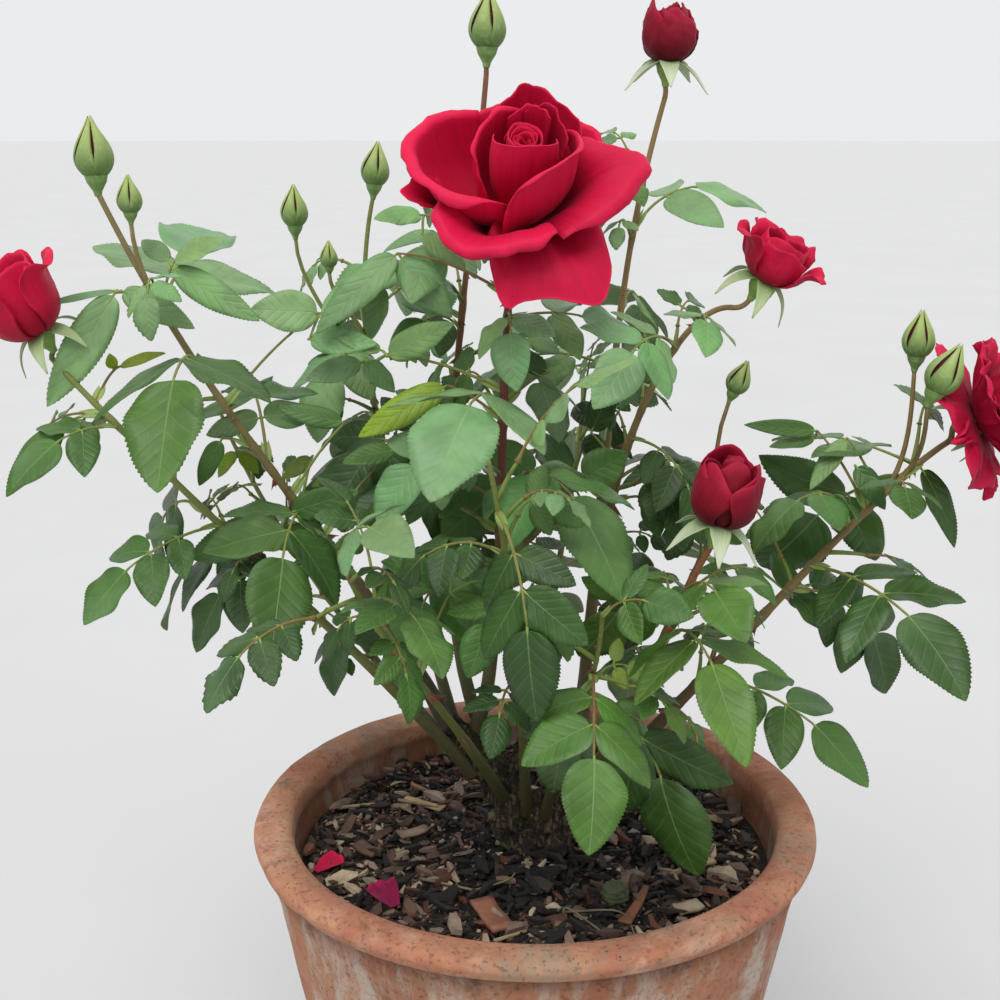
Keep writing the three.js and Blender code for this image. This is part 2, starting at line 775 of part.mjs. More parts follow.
// Leaves with a place of their own: the cane, the share of it where the leaf leaves, the compass
// direction it takes and its rise, in degrees, its size, sag and roll, and its pairs of leaflets
const PLACED_LEAVES = [
  ["left_tall", 0.478, -92, 30, 0.96, 1.02, -0.45, 2],
  ["front_centre", 0.732, -93, 10, 0.81, 0.86, -0.25, 2],
  ["front_right", 0.544, -78, 47, 0.97, 0.95, 0.06, 2],
  ["centre", 0.413, -135, 39, 0.87, 1.46, -0.14, 2],
  ["centre", 0.522, -54, 66, 1.08, 1.11, -0.16, 2],
  ["centre", 0.674, -112, 63, 1.09, 1.03, -0.02, 1],
  ["left_tall", 0.749, -92, 41, 1.17, 1.06, 0.13, 1],
  ["left_tall", 0.943, 131, -34, 1.12, 0.62, -1.34, 1],
  ["right_main", 0.6, -64, 12, 0.93, 0.51, 0.11, 2],
  ["right_main", 0.844, 134, -18, 1.12, 0.64, -1.44, 1],
  ["front_middle", 0.84, -74, -15, 0.82, 2.06, 0.53, 2],
  ["right_main", 0.35, -34, 3, 0.79, 0.58, -0.15, 2],
  ["front_centre", 0.641, -28, -19, 1.05, 1.81, 1.2, 1],
  ["left_low", 0.831, -139, 15, 0.6, 0.66, 0.03, 1],
  ["left_low", 0.624, -147, -1, 0.64, 0.62, 0.08, 2],
  ["left_low", 0.419, -85, 30, 0.64, 1.3, -0.74, 1],
  ["left_tall", 0.848, 90, 20, 1.22, 0.1, 0.24, 1],
  ["back_left", 0.731, -134, 23, 0.74, 0.1, -0.26, 1],
  ["back_centre", 0.69, -144, 61, 1, 0.89, 0.24, 1],
  ["right_back", 0.785, 12, 63, 0.86, 0.83, -0.11, 1],
  ["right_back", 0.529, 105, -50, 0.65, 0.67, -0.16, 1],
  ["front_right", 0.783, -75, 41, 0.64, 0.73, 0.22, 1],
  ["front_right", 0.688, 159, 30, 0.69, 1.33, -1.49, 1],
  ["right_main", 0.817, -97, 28, 0.53, 0.54, -0.15, 1],
  ["right_main", 0.878, 138, 18, 0.81, 0.25, 0.53, 1],
  ["back_centre", 0.656, -140, 56, 0.56, 1, -0.25, 1],
  ["centre", 0.845, 6, 17, 0.69, 0.49, -0.06, 1],
  ["right_upper", 0.713, 29, 33, 0.5, 0.75, 1.41, 1],
  ["left_low", 0.517, -154, 26, 0.63, 1.33, 0.11, 1],
  ["front_centre", 0.701, -147, -38, 0.57, 2.12, -0.43, 1],
  ["right_main", 0.491, 32, 36, 0.62, 0.55, 0.35, 1],
];

function placeLeaf(canes, [name, at, compass, rise, size, sag, roll, pairs], taken) {
  const cane = canes.find((one) => one.name === name);
  const level = Math.cos(radians(rise));
  const outward = vec(
    level * Math.cos(radians(compass)),
    level * Math.sin(radians(compass)),
    Math.sin(radians(rise)),
  );
  const leaf = compoundLeaf(cane.curve.getPoint(at), outward, size, sag, roll, pairs);
  keepIfFree(cane, leaf, taken);
}

// A leaf stays if none of its boxes meets what has grown before, and then takes up its own room
function keepIfFree(cane, leaf, taken) {
  const boxes = leafBoxes(leaf);
  const free = boxes.every(
    (box, i) =>
      hangsFree(box) &&
      !taken.some((other) => !(other.cane === cane.name && i < 2) && boxesMeet(box, other)),
  );
  if (!free) return false;
  taken.push(...boxes);
  cane.grown.push(leaf);
  return true;
}

// One leaf, at the next turn round its cane. It is tried a few ways and left out if none is free.
function growLeaf(cane, index, order, taken) {
  const draw = seeded(index * 40 + order + 1);
  const share = (order + 0.35 + 0.3 * draw()) / cane.leaves;
  const endsHere = cane.ends === "shoot" && order === cane.leaves - 1;
  const at = endsHere ? 0.985 : mix(cane.bare, LAST_LEAF, share);
  const { tangent, side, over } = frameAt(cane.curve, at);
  const root = cane.curve.getPoint(at);
  const young = mix(1, YOUNGEST, share ** 2);
  for (let attempt = 0; attempt < TRIES; attempt++) {
    const sway = attempt * RETRY_TURN + TURN_JITTER * (draw() - 0.5);
    const turn = radians(cane.turn + GOLDEN_TURN * order + sway);
    const lift = radians(mix(...LIFT, draw()) + (endsHere ? SHOOT_TIP_LIFT : 0));
    const out = side.clone().multiplyScalar(Math.cos(turn)).addScaledVector(over, Math.sin(turn));
    const ahead = out.multiplyScalar(Math.cos(lift)).addScaledVector(tangent, Math.sin(lift));
    const size = cane.size * young * mix(...SIZE, draw()) * (1 - RETRY_SHRINK * attempt);
    const pairs = draw() < THREE_LEAFLETS || order === cane.leaves - 1 ? 1 : 2;
    const sag = mix(...SAG, draw());
    const roll = mix(...ROLL, draw());
    const leaf = compoundLeaf(root, unit(ahead), size, sag, roll, pairs);
    if (keepIfFree(cane, leaf, taken)) return;
  }
}

// A terracotta wall with a rolled rim, closed on itself from the underside round to the inside
function potSolid() {
  const top = POT_HEIGHT;
  const neck = RIM_RADIUS - 10;
  const profile = [
    [0, 0],
    [FOOT_RADIUS, 0],
    [mix(FOOT_RADIUS, neck, 0.5) + 2.5, top * 0.45],
    [neck - 1, top - 38],
    [neck + 1.5, top - 32],
    [neck + 0.5, top - ROLL_HEIGHT - 5],
    [RIM_RADIUS - 4, top - ROLL_HEIGHT],
    [RIM_RADIUS, top - ROLL_HEIGHT * 0.55],
    [RIM_RADIUS - 4, top - 3],
    [RIM_RADIUS - 10, top],
    [MOUTH_RADIUS + 4, top - 1.5],
    [MOUTH_RADIUS, top - 8],
    [MOUTH_RADIUS + 1, top - ROLL_HEIGHT],
    [mix(FOOT_RADIUS, neck, 0.5) - WALL_THICK + 2.5, top * 0.45],
    [FOOT_RADIUS - WALL_THICK, FLOOR_THICK],
    [0, FLOOR_THICK],
  ].map(([r, h]) => new THREE.Vector2(r, h));
  const wall = solidOf(new THREE.LatheGeometry(profile, POT_SEGMENTS).rotateX(Math.PI / 2));
  const drains = Array.from({ length: 3 }, (_, k) => {
    const turn = radians(120 * k + 90);
    const hole = new THREE.CylinderGeometry(DRAIN_RADIUS, DRAIN_RADIUS, FLOOR_THICK * 3, 8);
    hole.rotateX(Math.PI / 2).translate(DRAIN_CIRCLE * Math.cos(turn), DRAIN_CIRCLE * Math.sin(turn), 0);
    return solidOf(hole);
  });
  return drains.reduce((pot, hole) => pot.subtract(hole), wall);
}

// The compost fills the pot to a little under the rim, with a flat pad under the trunk
function soilSolid() {
  const gap = CLEAR + 0.3;
  const edge = POT_HEIGHT - SOIL_DROP;
  const neck = RIM_RADIUS - 10;
  const inside = MOUTH_RADIUS + 1 - gap;
  const profile = [
    [0, FLOOR_THICK + CLEAR],
    [FOOT_RADIUS - WALL_THICK - gap, FLOOR_THICK + CLEAR],
    [mix(FOOT_RADIUS, neck, 0.5) - WALL_THICK + 2.5 - gap, POT_HEIGHT * 0.45],
    [inside - 0.4, edge],
    [inside * 0.5, SOIL_TOP],
    [0, SOIL_TOP],
  ].map(([r, h]) => new THREE.Vector2(r, h));
  return solidOf(new THREE.LatheGeometry(profile, POT_SEGMENTS).rotateX(Math.PI / 2));
}

// Materials, by the colour and finish of each part
const FINISHES = {
  terracotta: { color: 0xb8714f, roughness: 0.85 },
  compost: { color: 0x3a2c24, roughness: 1 },
  bark: { color: 0x6b5a3c, roughness: 0.8 },
  cane: { color: 0x66703a, roughness: 0.6 },
  foliage: { color: 0x3f6e3c, roughness: 0.55 },
  petal: { color: 0xb0122f, roughness: 0.5 },
};

const bush = new THREE.Group();
bush.name = "rose_bush";

function show(name, finish, solid) {
  const mesh = new THREE.Mesh(
    geometryOf(mainBody(solid)),
    new THREE.MeshStandardMaterial({ ...FINISHES[finish], metalness: 0 }),
  );
  mesh.name = name;
  bush.add(mesh);
}

// Each cane's bare length is a bough. Its leafy length, with its twigs and leaves, is one mass.
function showCane(cane, trunkRoom) {
  const [rootRadius, tipRadius] = cane.radii;
  const join = mix(rootRadius, tipRadius, cane.bare ** TAPER);
  const step = CLEAR / cane.curve.getLength();
  const bough = limb(cane.curve, 0, cane.bare, rootRadius, join, CANE_SIDES, 3);
  show(`bough_${cane.name}`, "cane", bough.subtract(trunkRoom));
  const parts = [limb(cane.curve, cane.bare + step, 1, join, tipRadius, 4, 6)];
  cane.grown.forEach((leaf) => parts.push(leafSolid(leaf)));
  cane.twigs.forEach((twig) => {
    parts.push(limb(twig.curve, 0, 1, 1.8, 1.4, TWIG_SIDES, 3));
    parts.push(budSolid(vec(...twig.tip), unit(twig.curve.getTangent(1)), twig.size));
  });
  if (cane.ends === "bud") parts.push(budSolid(cane.tip, cane.face, 1));
  if (cane.flower) {
    parts.push(hipSolid(cane.tip, cane.face));
    const foot = along(cane.tip, cane.face, HIP_LONG + CLEAR);
    show(`bloom_${cane.name}`, "petal", placed(flowerSolid(cane.flower), foot, cane.face));
  }
  show(`mass_${cane.name}`, "foliage", fused(parts));
}

show("pot", "terracotta", potSolid());
show("soil", "compost", soilSolid());
show("trunk", "bark", trunkSolid(0).subtract(below(TRUNK_FOOT)));
const trunkRoom = trunkSolid(CLEAR + 0.1);
STUBS.forEach((stub) => {
  const [rootRadius, tipRadius] = stub.radii;
  const whole = limb(curveThrough(stub.route), 0, 1, rootRadius, tipRadius, CANE_SIDES, 3);
  show(stub.name, "bark", whole.subtract(trunkRoom));
});
growCanes().forEach((cane) => showCane(cane, trunkRoom));

export default bush;
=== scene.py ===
import math
from collections import namedtuple

import bpy
import numpy as np
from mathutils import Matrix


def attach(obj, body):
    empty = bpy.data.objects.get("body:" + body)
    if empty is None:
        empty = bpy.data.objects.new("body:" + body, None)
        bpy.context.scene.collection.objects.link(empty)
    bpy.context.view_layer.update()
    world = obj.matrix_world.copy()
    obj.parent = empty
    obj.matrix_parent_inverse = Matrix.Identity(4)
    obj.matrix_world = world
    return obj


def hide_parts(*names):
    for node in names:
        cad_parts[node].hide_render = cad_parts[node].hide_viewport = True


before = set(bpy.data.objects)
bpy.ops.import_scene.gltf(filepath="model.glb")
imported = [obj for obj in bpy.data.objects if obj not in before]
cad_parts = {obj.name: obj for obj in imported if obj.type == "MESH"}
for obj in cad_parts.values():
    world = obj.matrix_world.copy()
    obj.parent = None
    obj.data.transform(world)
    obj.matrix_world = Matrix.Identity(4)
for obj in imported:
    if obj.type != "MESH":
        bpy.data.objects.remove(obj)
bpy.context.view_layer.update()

# A red rose bush in a terracotta pot. All shapes are worked out in millimetres, +Z up and -Y to the
# front, and go into the meshes in metres.
MM = 0.001
UP = np.array([0.0, 0.0, 1.0])
FRONT = np.array([0.0, -1.0, 0.0])


# Vectors and curves
def mix(a, b, t):
    """The value at share t of the way from a to b"""
    return a + (b - a) * t


def unit(v):
    """v at length 1"""
    return v / np.linalg.norm(v, axis=-1, keepdims=True)


def dot(a, b):
    """The dot product along the last axis, which is kept"""
    return np.sum(a * b, axis=-1, keepdims=True)


def square(v, axis):
    """The part of v that is square to a unit axis, at length 1"""
    return unit(v - axis * dot(v, axis))


def smooth(t):
    """A step that eases from 0 to 1 as t goes from 0 to 1"""
    t = np.clip(t, 0, 1)
    return t * t * (3 - 2 * t)


def turned(v, axis, angle):
    """v turned by an angle round a unit axis: cos v + sin (axis x v) + (1 - cos)(axis.v) axis"""
    c, s = np.cos(angle)[..., None], np.sin(angle)[..., None]
    return v * c + np.cross(axis, v) * s + axis * dot(axis, v) * (1 - c)


def bezier(points, t):
    """The point at share t of a Bezier curve, by repeated mixing of its neighbouring points"""
    t = np.asarray(t, float)[..., None, None]
    while points.shape[-2] > 1:
        points = points[..., :-1, :] * (1 - t) + points[..., 1:, :] * t
    return points[..., 0, :]


def heading(points, t):
    """The direction of a Bezier curve at share t"""
    t = np.asarray(t, float)
    return unit(bezier(points, np.minimum(t + 1e-4, 1)) - bezier(points, np.maximum(t - 1e-4, 0)))


def curve_through(route):
    """The cubic Bezier curve that passes a limb's foot, its lower and upper third and its tip"""
    a, b, c, d = np.array(route, float)
    second = (-5 * a + 18 * b - 9 * c + 2 * d) / 6
    third = (2 * a - 9 * b + 18 * c - 5 * d) / 6
    return np.array([a, second, third, d])


def frame_at(points, t):
    """A curve's direction and two directions square to it, turning slowly along it"""
    tangent = heading(points, t)
    chord = unit(points[-1] - points[0])
    still = np.array([0.0, 1, 0]) if abs(chord[1]) < 0.8 else np.array([1.0, 0, 0])
    over = unit(np.cross(tangent, still))
    return tangent, np.cross(tangent, over), over


def seeded(seed):
    """Park-Miller draws between 0 and 1, the same as in the part's source"""
    state = seed * 7919 + 17

    def draw():
        """The next number"""
        nonlocal state
        state = state * 16807 % 2147483647
        return state / 2147483647

    for _ in range(4):
        draw()
    return draw


def ripple(x, y, z, size, seed, layers=4):
    """A smooth random field between about -1 and 1: a sum of sines across seeded directions, each
    layer half as long and a little over half as high as the one before"""
    rng = np.random.default_rng(seed)
    field, height, total = 0.0, 1.0, 0.0
    for layer in range(layers):
        for _ in range(4):
            way = unit(rng.normal(size=3)) * 2 * math.pi * 2**layer / size
            field = field + height * np.sin(way[0] * x + way[1] * y + way[2] * z + rng.uniform(0, 6.3))
        total += height * 2
        height *= 0.55
    return field / total


# Meshes
class Heap:
    """Points, faces, places on the surface and colours, gathered for one piece"""

    def __init__(self):
        self.points, self.place, self.tint, self.faces, self.count = [], [], [], [], 0

    def add(self, points, faces, place=(0.0, 0.0), tint=(1.0, 1.0, 1.0), part=0.0):
        """Adds points with their faces. place is (u, v) on the surface, tint a colour, and part a
        number that the material reads, such as 1 on the underside of a leaf."""
        shape = points.shape[:-1]
        n = int(np.prod(shape))
        self.points.append(points.reshape(-1, 3))
        self.place.append(np.broadcast_to(place, (*shape, 2)).reshape(-1, 2))
        colour = np.broadcast_to(tint, (*shape, 3)).reshape(-1, 3)
        extra = np.broadcast_to(part, shape).reshape(-1, 1)
        self.tint.append(np.concatenate([colour, extra], 1))
        for face in faces:
            self.faces.append(np.asarray(face) + self.count)
        self.count += n

    def limb(self, path, radius, sides, tint=(1.0, 1.0, 1.0)):
        """Adds one closed round limb, with a radius for each point of its path"""
        points, faces, place = tubes(path[None], radius[None], sides)
        self.add(points, faces, place, tint)

    def mesh(self, name):
        """A smooth-shaded mesh in metres, with a map called place and a colour called tint"""
        mesh = bpy.data.meshes.new(name)
        points = np.concatenate(self.points) * MM
        loops = np.concatenate([f.ravel() for f in self.faces]).astype(np.int32)
        sizes = np.concatenate([np.full(len(f), f.shape[1]) for f in self.faces])
        mesh.vertices.add(len(points))
        mesh.vertices.foreach_set("co", points.astype(np.float32).ravel())
        mesh.loops.add(len(loops))
        mesh.loops.foreach_set("vertex_index", loops)
        mesh.polygons.add(len(sizes))
        mesh.polygons.foreach_set("loop_start", (np.cumsum(sizes) - sizes).astype(np.int32))
        mesh.polygons.foreach_set("use_smooth", np.ones(len(sizes), bool))
        mesh.update(calc_edges=True)
        uv = mesh.uv_layers.new(name="place")
        uv.data.foreach_set("uv", np.concatenate(self.place)[loops].astype(np.float32).ravel())
        tint = mesh.attributes.new("tint", "FLOAT_COLOR", "POINT")
        tint.data.foreach_set("color", np.concatenate(self.tint).astype(np.float32).ravel())
        mesh.validate()
        return mesh

    def piece(self, name, material, slot, *nodes):
        """The finished piece, riding with the plant's one body in place of the CAD nodes it shows"""
        return settle(linked(name, self.mesh(name)), material, slot, *nodes)


def linked(name, data):
    """A new object in the scene"""
    made = bpy.data.objects.new(name, data)
    bpy.context.scene.collection.objects.link(made)
    return made


def settle(piece, material, slot, *nodes):
    """Dresses a piece, lets it ride with the plant's one body, and hides the CAD nodes it stands in for;
    its slot is not used
    """
    piece.data.materials.clear()
    piece.data.materials.append(material)
    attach(piece, "root")
    if nodes:
        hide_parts(*nodes)
    return piece


def grid_faces(rows, columns, copies=1, wrap=False):
    """The quads of grids of rows x columns points. Their normal is (along rows) x (along columns).
    With wrap, the last column joins the first."""
    r = np.arange(rows - 1)[:, None]
    c = np.arange(columns if wrap else columns - 1)[None, :]
    d = (c + 1) % columns
    quads = np.stack([r * columns + c, (r + 1) * columns + c, (r + 1) * columns + d, r * columns + d], -1)
    quads = quads.reshape(-1, 4)
    return (quads[None] + np.arange(copies)[:, None, None] * rows * columns).reshape(-1, 4)


def limb_faces(rings, sides):
    """The faces of rings of points with a pole at each end, the two poles numbered last: the quads
    of the skin and the triangles of both ends"""
    turn = np.arange(sides)
    after = (turn + 1) % sides
    end = (rings - 1) * sides
    low = np.stack([np.full(sides, rings * sides), turn, after], 1)
    high = np.stack([np.full(sides, rings * sides + 1), end + after, end + turn], 1)
    return grid_faces(rings, sides, wrap=True), low, high


def normals_of(grid):
    """The unit normals of a grid surface: its step along the rows x its step along the columns"""
    return unit(np.cross(np.gradient(grid, axis=-3), np.gradient(grid, axis=-2)))


def closed_sheets(grid, thick):
    """Thin closed sheets round the middle surfaces (copies, rows, columns, 3): each point is moved
    out by half the thickness along its normal for the front and back for the rear, and a strip of
    quads joins the two all round the border. Gives points (copies, 2, rows, columns, 3), quads."""
    copies, rows, columns, _ = grid.shape
    offset = normals_of(grid) * (np.broadcast_to(thick, (rows, columns))[None, ..., None] / 2)
    points = np.stack([grid + offset, grid - offset], 1)
    one = grid_faces(rows, columns)
    n = rows * columns
    index = np.arange(n).reshape(rows, columns)
    border = np.concatenate([index[:-1, 0], index[-1, :-1], index[:0:-1, -1], index[0, :0:-1]])
    after = np.roll(border, -1)
    strip = np.stack([border + n, after + n, after, border], 1)
    quads = np.concatenate([one, one[:, ::-1] + n, strip])
    return points, (quads[None] + np.arange(copies)[:, None, None] * 2 * n).reshape(-1, 4)


def border_thin(rows, columns, thick, edge):
    """A thickness that drops to a share of itself at the border of the grid"""
    t = np.full((rows, columns), float(thick))
    t[0], t[-1], t[:, 0], t[:, -1] = (thick * edge,) * 4
    return t


def tubes(paths, radius, sides):
    """Closed round limbs: at each point of the paths (copies, rings, 3) a ring of the given radius
    (copies, rings) or (copies, rings, sides) square to the path, with a pole at each end. Gives
    points (copies, rings * sides + 2, 3), faces, and the share of the way round and along."""
    copies, rings, _ = paths.shape
    tangent = unit(np.gradient(paths, axis=1))
    chord = unit(paths[:, -1:] - paths[:, :1])
    still = np.where(np.abs(chord[..., 1:2]) < 0.8, np.array([0.0, 1, 0]), np.array([1.0, 0, 0]))
    over = unit(np.cross(tangent, still))
    side = np.cross(tangent, over)
    angle = np.arange(sides) * 2 * math.pi / sides
    if radius.ndim == 2:
        radius = radius[..., None]
    ring = side[:, :, None] * np.cos(angle)[:, None] + over[:, :, None] * np.sin(angle)[:, None]
    skin = paths[:, :, None] + ring * np.broadcast_to(radius, (copies, rings, sides))[..., None]
    points = np.concatenate([skin.reshape(copies, -1, 3), paths[:, :1], paths[:, -1:]], 1)
    shift = (np.arange(copies) * (rings * sides + 2))[:, None, None]
    around = np.broadcast_to(np.arange(sides) / sides, (rings, sides)).ravel()
    length = np.broadcast_to((np.arange(rings) / (rings - 1))[:, None], (rings, sides)).ravel()
    place = np.stack([np.append(around, [0, 0]), np.append(length, [0, 1])], 1)
    faces = [(f[None] + shift).reshape(-1, f.shape[1]) for f in limb_faces(rings, sides)]
    return points, faces, np.broadcast_to(place, (copies, *place.shape))


def stood(points, at, face):
    """Points made round +Z, turned the shortest way to a direction and moved to a place"""
    face = unit(np.array(face, float))
    axis = np.cross(UP, face)
    sine = np.linalg.norm(axis)
    if sine > 1e-9:
        points = turned(points, axis / sine, np.array(math.atan2(sine, face[2])))
    return points + np.asarray(at, float)


# Paints
def tone(code):
    """A colour code as the linear red, green and blue that materials use"""
    c = np.array([int(code[i:i + 2], 16) for i in (1, 3, 5)]) / 255
    return np.where(c <= 0.04045, c / 12.92, ((c + 0.055) / 1.055) ** 2.4)


class Wire:
    """A shader socket that can be written in sums: each operator adds its Math node"""

    def __init__(self, tree, socket):
        self.tree, self.socket = tree, socket

    def maths(self, how, a, b=0.0):
        """The Math node that joins a and b"""
        return node(self.tree, "ShaderNodeMath", {"operation": how}, {0: a, 1: b})

    def __add__(self, other):
        return self.maths("ADD", self, other)

    def __sub__(self, other):
        return self.maths("SUBTRACT", self, other)

    def __rsub__(self, other):
        return self.maths("SUBTRACT", other, self)

    def __mul__(self, other):
        return self.maths("MULTIPLY", self, other)

    __radd__, __rmul__ = __add__, __mul__

    def unsigned(self):
        """The number without its sign"""
        return self.maths("ABSOLUTE", self)

    def zigzag(self, top):
        """Up from 0 to top and down again, over and over"""
        return self.maths("PINGPONG", self, top)

    def or_more(self, other):
        """The larger of two numbers"""
        return self.maths("MAXIMUM", self, other)

    def ranged(self, low, high):
        """0 where this is at low, 1 where it is at high, eased between"""
        sockets = {"Value": self, "From Min": low, "From Max": high}
        return node(self.tree, "ShaderNodeMapRange", {"interpolation_type": "SMOOTHSTEP"}, sockets)


def node(tree, kind, settings=None, sockets=None, out=0):
    """Adds a node: its settings first, then the values or links of its sockets"""
    made = tree.nodes.new(kind)
    for key, value in (settings or {}).items():
        setattr(made, key, value)
    for key, value in (sockets or {}).items():
        if isinstance(value, Wire):
            tree.links.new(value.socket, made.inputs[key])
        else:
            made.inputs[key].default_value = value
    return Wire(tree, made.outputs[out])


class Paint:
    """A material under way: its tree, the nodes that patterns are made of, and its finish"""

    def __init__(self, name):
        self.material = bpy.data.materials.new(name)
        self.material.use_nodes = True
        self.tree = self.material.node_tree
        self.shader = self.tree.nodes["Principled BSDF"]
        self.spot = node(self.tree, "ShaderNodeTexCoord", out=3)

    def add(self, kind, settings=None, sockets=None, out=0):
        """A node of this material"""
        return node(self.tree, kind, settings, sockets, out)

    def noise(self, scale, detail=3.0, rough=0.55, at=None, warp=0.0):
        """Cloudy noise over the object's own coordinates, or over others"""
        sockets = {"Vector": at or self.spot, "Scale": scale, "Detail": detail, "Roughness": rough,
                   "Distortion": warp}
        return self.add("ShaderNodeTexNoise", {}, sockets)

    def cells(self, scale, feature="F1"):
        """The distance to the nearest of scattered points, or to the border between them"""
        sockets = {"Vector": self.spot, "Scale": scale}
        return self.add("ShaderNodeTexVoronoi", {"feature": feature}, sockets)

    def vector(self, x, y, z):
        """Three numbers as one vector"""
        return self.add("ShaderNodeCombineXYZ", {}, {0: x, 1: y, 2: z})

    def stretched(self, factors):
        """Object coordinates stretched by three factors"""
        return self.add("ShaderNodeMapping", {}, {"Vector": self.spot, "Scale": factors})

    def blend(self, share, a, b):
        """The colour at a share of the way from a to b"""
        four = lambda c: c if isinstance(c, Wire) else (*c, 1.0)
        return self.add("ShaderNodeMix", {"data_type": "RGBA"}, {0: share, 6: four(a), 7: four(b)}, 2)

    def scaled(self, colour, factor):
        """A colour times a number"""
        return self.add("ShaderNodeVectorMath", {"operation": "SCALE"}, {0: colour, "Scale": factor})

    def place(self):
        """The two numbers of the piece's own map"""
        uv = self.add("ShaderNodeUVMap", {"uv_map": "place"})
        parts = self.tree.nodes.new("ShaderNodeSeparateXYZ")
        self.tree.links.new(uv.socket, parts.inputs[0])
        return Wire(self.tree, parts.outputs[0]), Wire(self.tree, parts.outputs[1])

    def tint(self):
        """The colour that the points carry, and the number beside it"""
        made = self.tree.nodes.new("ShaderNodeAttribute")
        made.attribute_name = "tint"
        return Wire(self.tree, made.outputs["Color"]), Wire(self.tree, made.outputs["Alpha"])

    def finish(self, colour, rough, height=None, depth=0.0005, strength=1.0, **constants):
        """Links colour, roughness and relief, and sets what is the same all over the surface"""
        for key, value in (("Base Color", colour), ("Roughness", rough)):
            if isinstance(value, Wire):
                self.tree.links.new(value.socket, self.shader.inputs[key])
            else:
                self.shader.inputs[key].default_value = value
        if height is not None:
            sockets = {"Height": height, "Strength": strength, "Distance": depth}
            bump = self.add("ShaderNodeBump", {}, sockets)
            self.tree.links.new(bump.socket, self.shader.inputs["Normal"])
        for key, value in constants.items():
            self.shader.inputs[key.replace("_", " ")].default_value = value
        return self.material


def terracotta_paint():
    """Fired clay with cloudy colour, grey lichen on the rim, lime bloom down the wall, painted shade on the
    wall under the rim, moss and painted shade in the groove under the rim, grime, dark specks and pits"""
    p = Paint("aged_terracotta")
    height = p.add("ShaderNodeSeparateXYZ", {}, {0: p.spot}, 2)
    cloud = p.noise(14, 6, 0.65, warp=0.3)
    body = p.blend(cloud.ranged(0.32, 0.68), tone("#9C5F48"), tone("#C2906F"))
    body = p.blend(p.noise(70, 5, 0.7).ranged(0.42, 0.72) * 0.55, body, tone("#B27A5E"))
    rim = height.ranged(0.236, 0.243)
    chalk = p.noise(24, 7, 0.72, warp=0.5).ranged(0.48, 0.66)
    body = p.blend(chalk * 0.6, body, tone("#C8A791"))
    rose = p.noise(31, 6, 0.7, warp=0.5).ranged(0.5, 0.64)
    body = p.blend(rose * 0.45, body, tone("#A66A5C"))
    # Painted shade: the wall under the rim is blended towards darker browns
    body = p.blend((1 - rim) * 0.45, body, p.blend(cloud, tone("#7A4630"), tone("#96644A")))
    grey = (p.noise(17, 7, 0.72, warp=0.4) + rim * 0.03).ranged(0.53, 0.68)
    body = p.blend(grey * 0.65, body, tone("#8F8472"))
    streaks = p.noise(1, 7, 0.68, p.stretched((34, 34, 9)), 0.5)
    low = 1 - height.ranged(0.12, 0.225)
    lime = (streaks + low * 0.08).ranged(0.47, 0.62) * (1 - rim)
    body = p.blend(lime * 0.75, body, tone("#B5ADA0"))
    # Painted shade darkens the groove under the rim, where moss grows too
    groove = height.ranged(0.222, 0.236) * (1 - height.ranged(0.237, 0.2405))
    moss = p.noise(34, 6, 0.7, warp=0.6).ranged(0.5, 0.66) * (groove * 0.85 + 0.15)
    body = p.blend(groove * 0.6, body, tone("#6B4430"))
    body = p.blend(moss * 0.75, body, tone("#3E3A28"))
    grime = p.noise(42, 7, 0.75, warp=0.6).ranged(0.56, 0.7)
    body = p.blend(grime * 0.55, body, tone("#6A4A3A"))
    specks = 1 - p.cells(260).ranged(0.08, 0.2)
    few = p.noise(45, 3).ranged(0.56, 0.68)
    body = p.blend(specks * few * 0.6, body, tone("#3A2A22"))
    pits = p.noise(380, 5, 0.7).ranged(0.55, 0.7)
    body = p.blend(pits * 0.28, body, tone("#5E3A2A"))
    rough = mix(0.75, 0.95, cloud)
    relief = p.noise(180, 6, 0.75) * 0.8 - specks * few * 0.7 - pits * 0.4 + lime * 0.25 + grey * 0.3
    return p.finish(body, rough, relief, 0.0011, 0.9, Specular_IOR_Level=0.3)


def compost_paint():
    """Damp dark compost"""
    p = Paint("compost")
    dark = p.blend(p.noise(120, 5, 0.7).ranged(0.35, 0.7), tone("#120D0A"), tone("#33261D"))
    return p.finish(dark, 0.95, p.noise(260, 6, 0.75), 0.003, 1.0)


def chip_paint():
    """Shredded bark: the chip's own colour, darker where it is damp, with a grain along it"""
    p = Paint("bark_mulch")
    tint, _ = p.tint()
    along, across = p.place()
    grain = p.vector(along * 2, across * 9, p.noise(8))
    fibre = p.noise(3, 4, 0.65, grain)
    shade = p.scaled(tint, mix(0.45, 1.5, fibre))
    damp = p.noise(70, 3).ranged(0.4, 0.65)
    return p.finish(p.blend(damp * 0.4, shade, tone("#17100C")), mix(0.6, 0.9, fibre), fibre, 0.0008, 0.9)


def bark_paint():
    """Old rose wood: grey-brown with lengthwise cracks, green where it is young, and lichen"""
    p = Paint("old_bark")
    tint, _ = p.tint()
    grain = p.noise(1, 6, 0.7, p.stretched((300, 300, 80)), 0.5)
    cracks = (grain - 0.5).unsigned().ranged(0.0, 0.075)
    skin = p.blend(cracks, tone("#140E0A"), p.scaled(tint, mix(0.55, 1.45, p.noise(150, 4))))
    skin = p.blend(p.noise(60, 5).ranged(0.54, 0.7) * 0.3, skin, tone("#84765A"))
    skin = p.blend(p.noise(33, 4).ranged(0.56, 0.68) * 0.5, skin, tone("#5B6136"))
    return p.finish(skin, mix(0.7, 0.9, cracks), cracks + grain, 0.0016, 0.95)


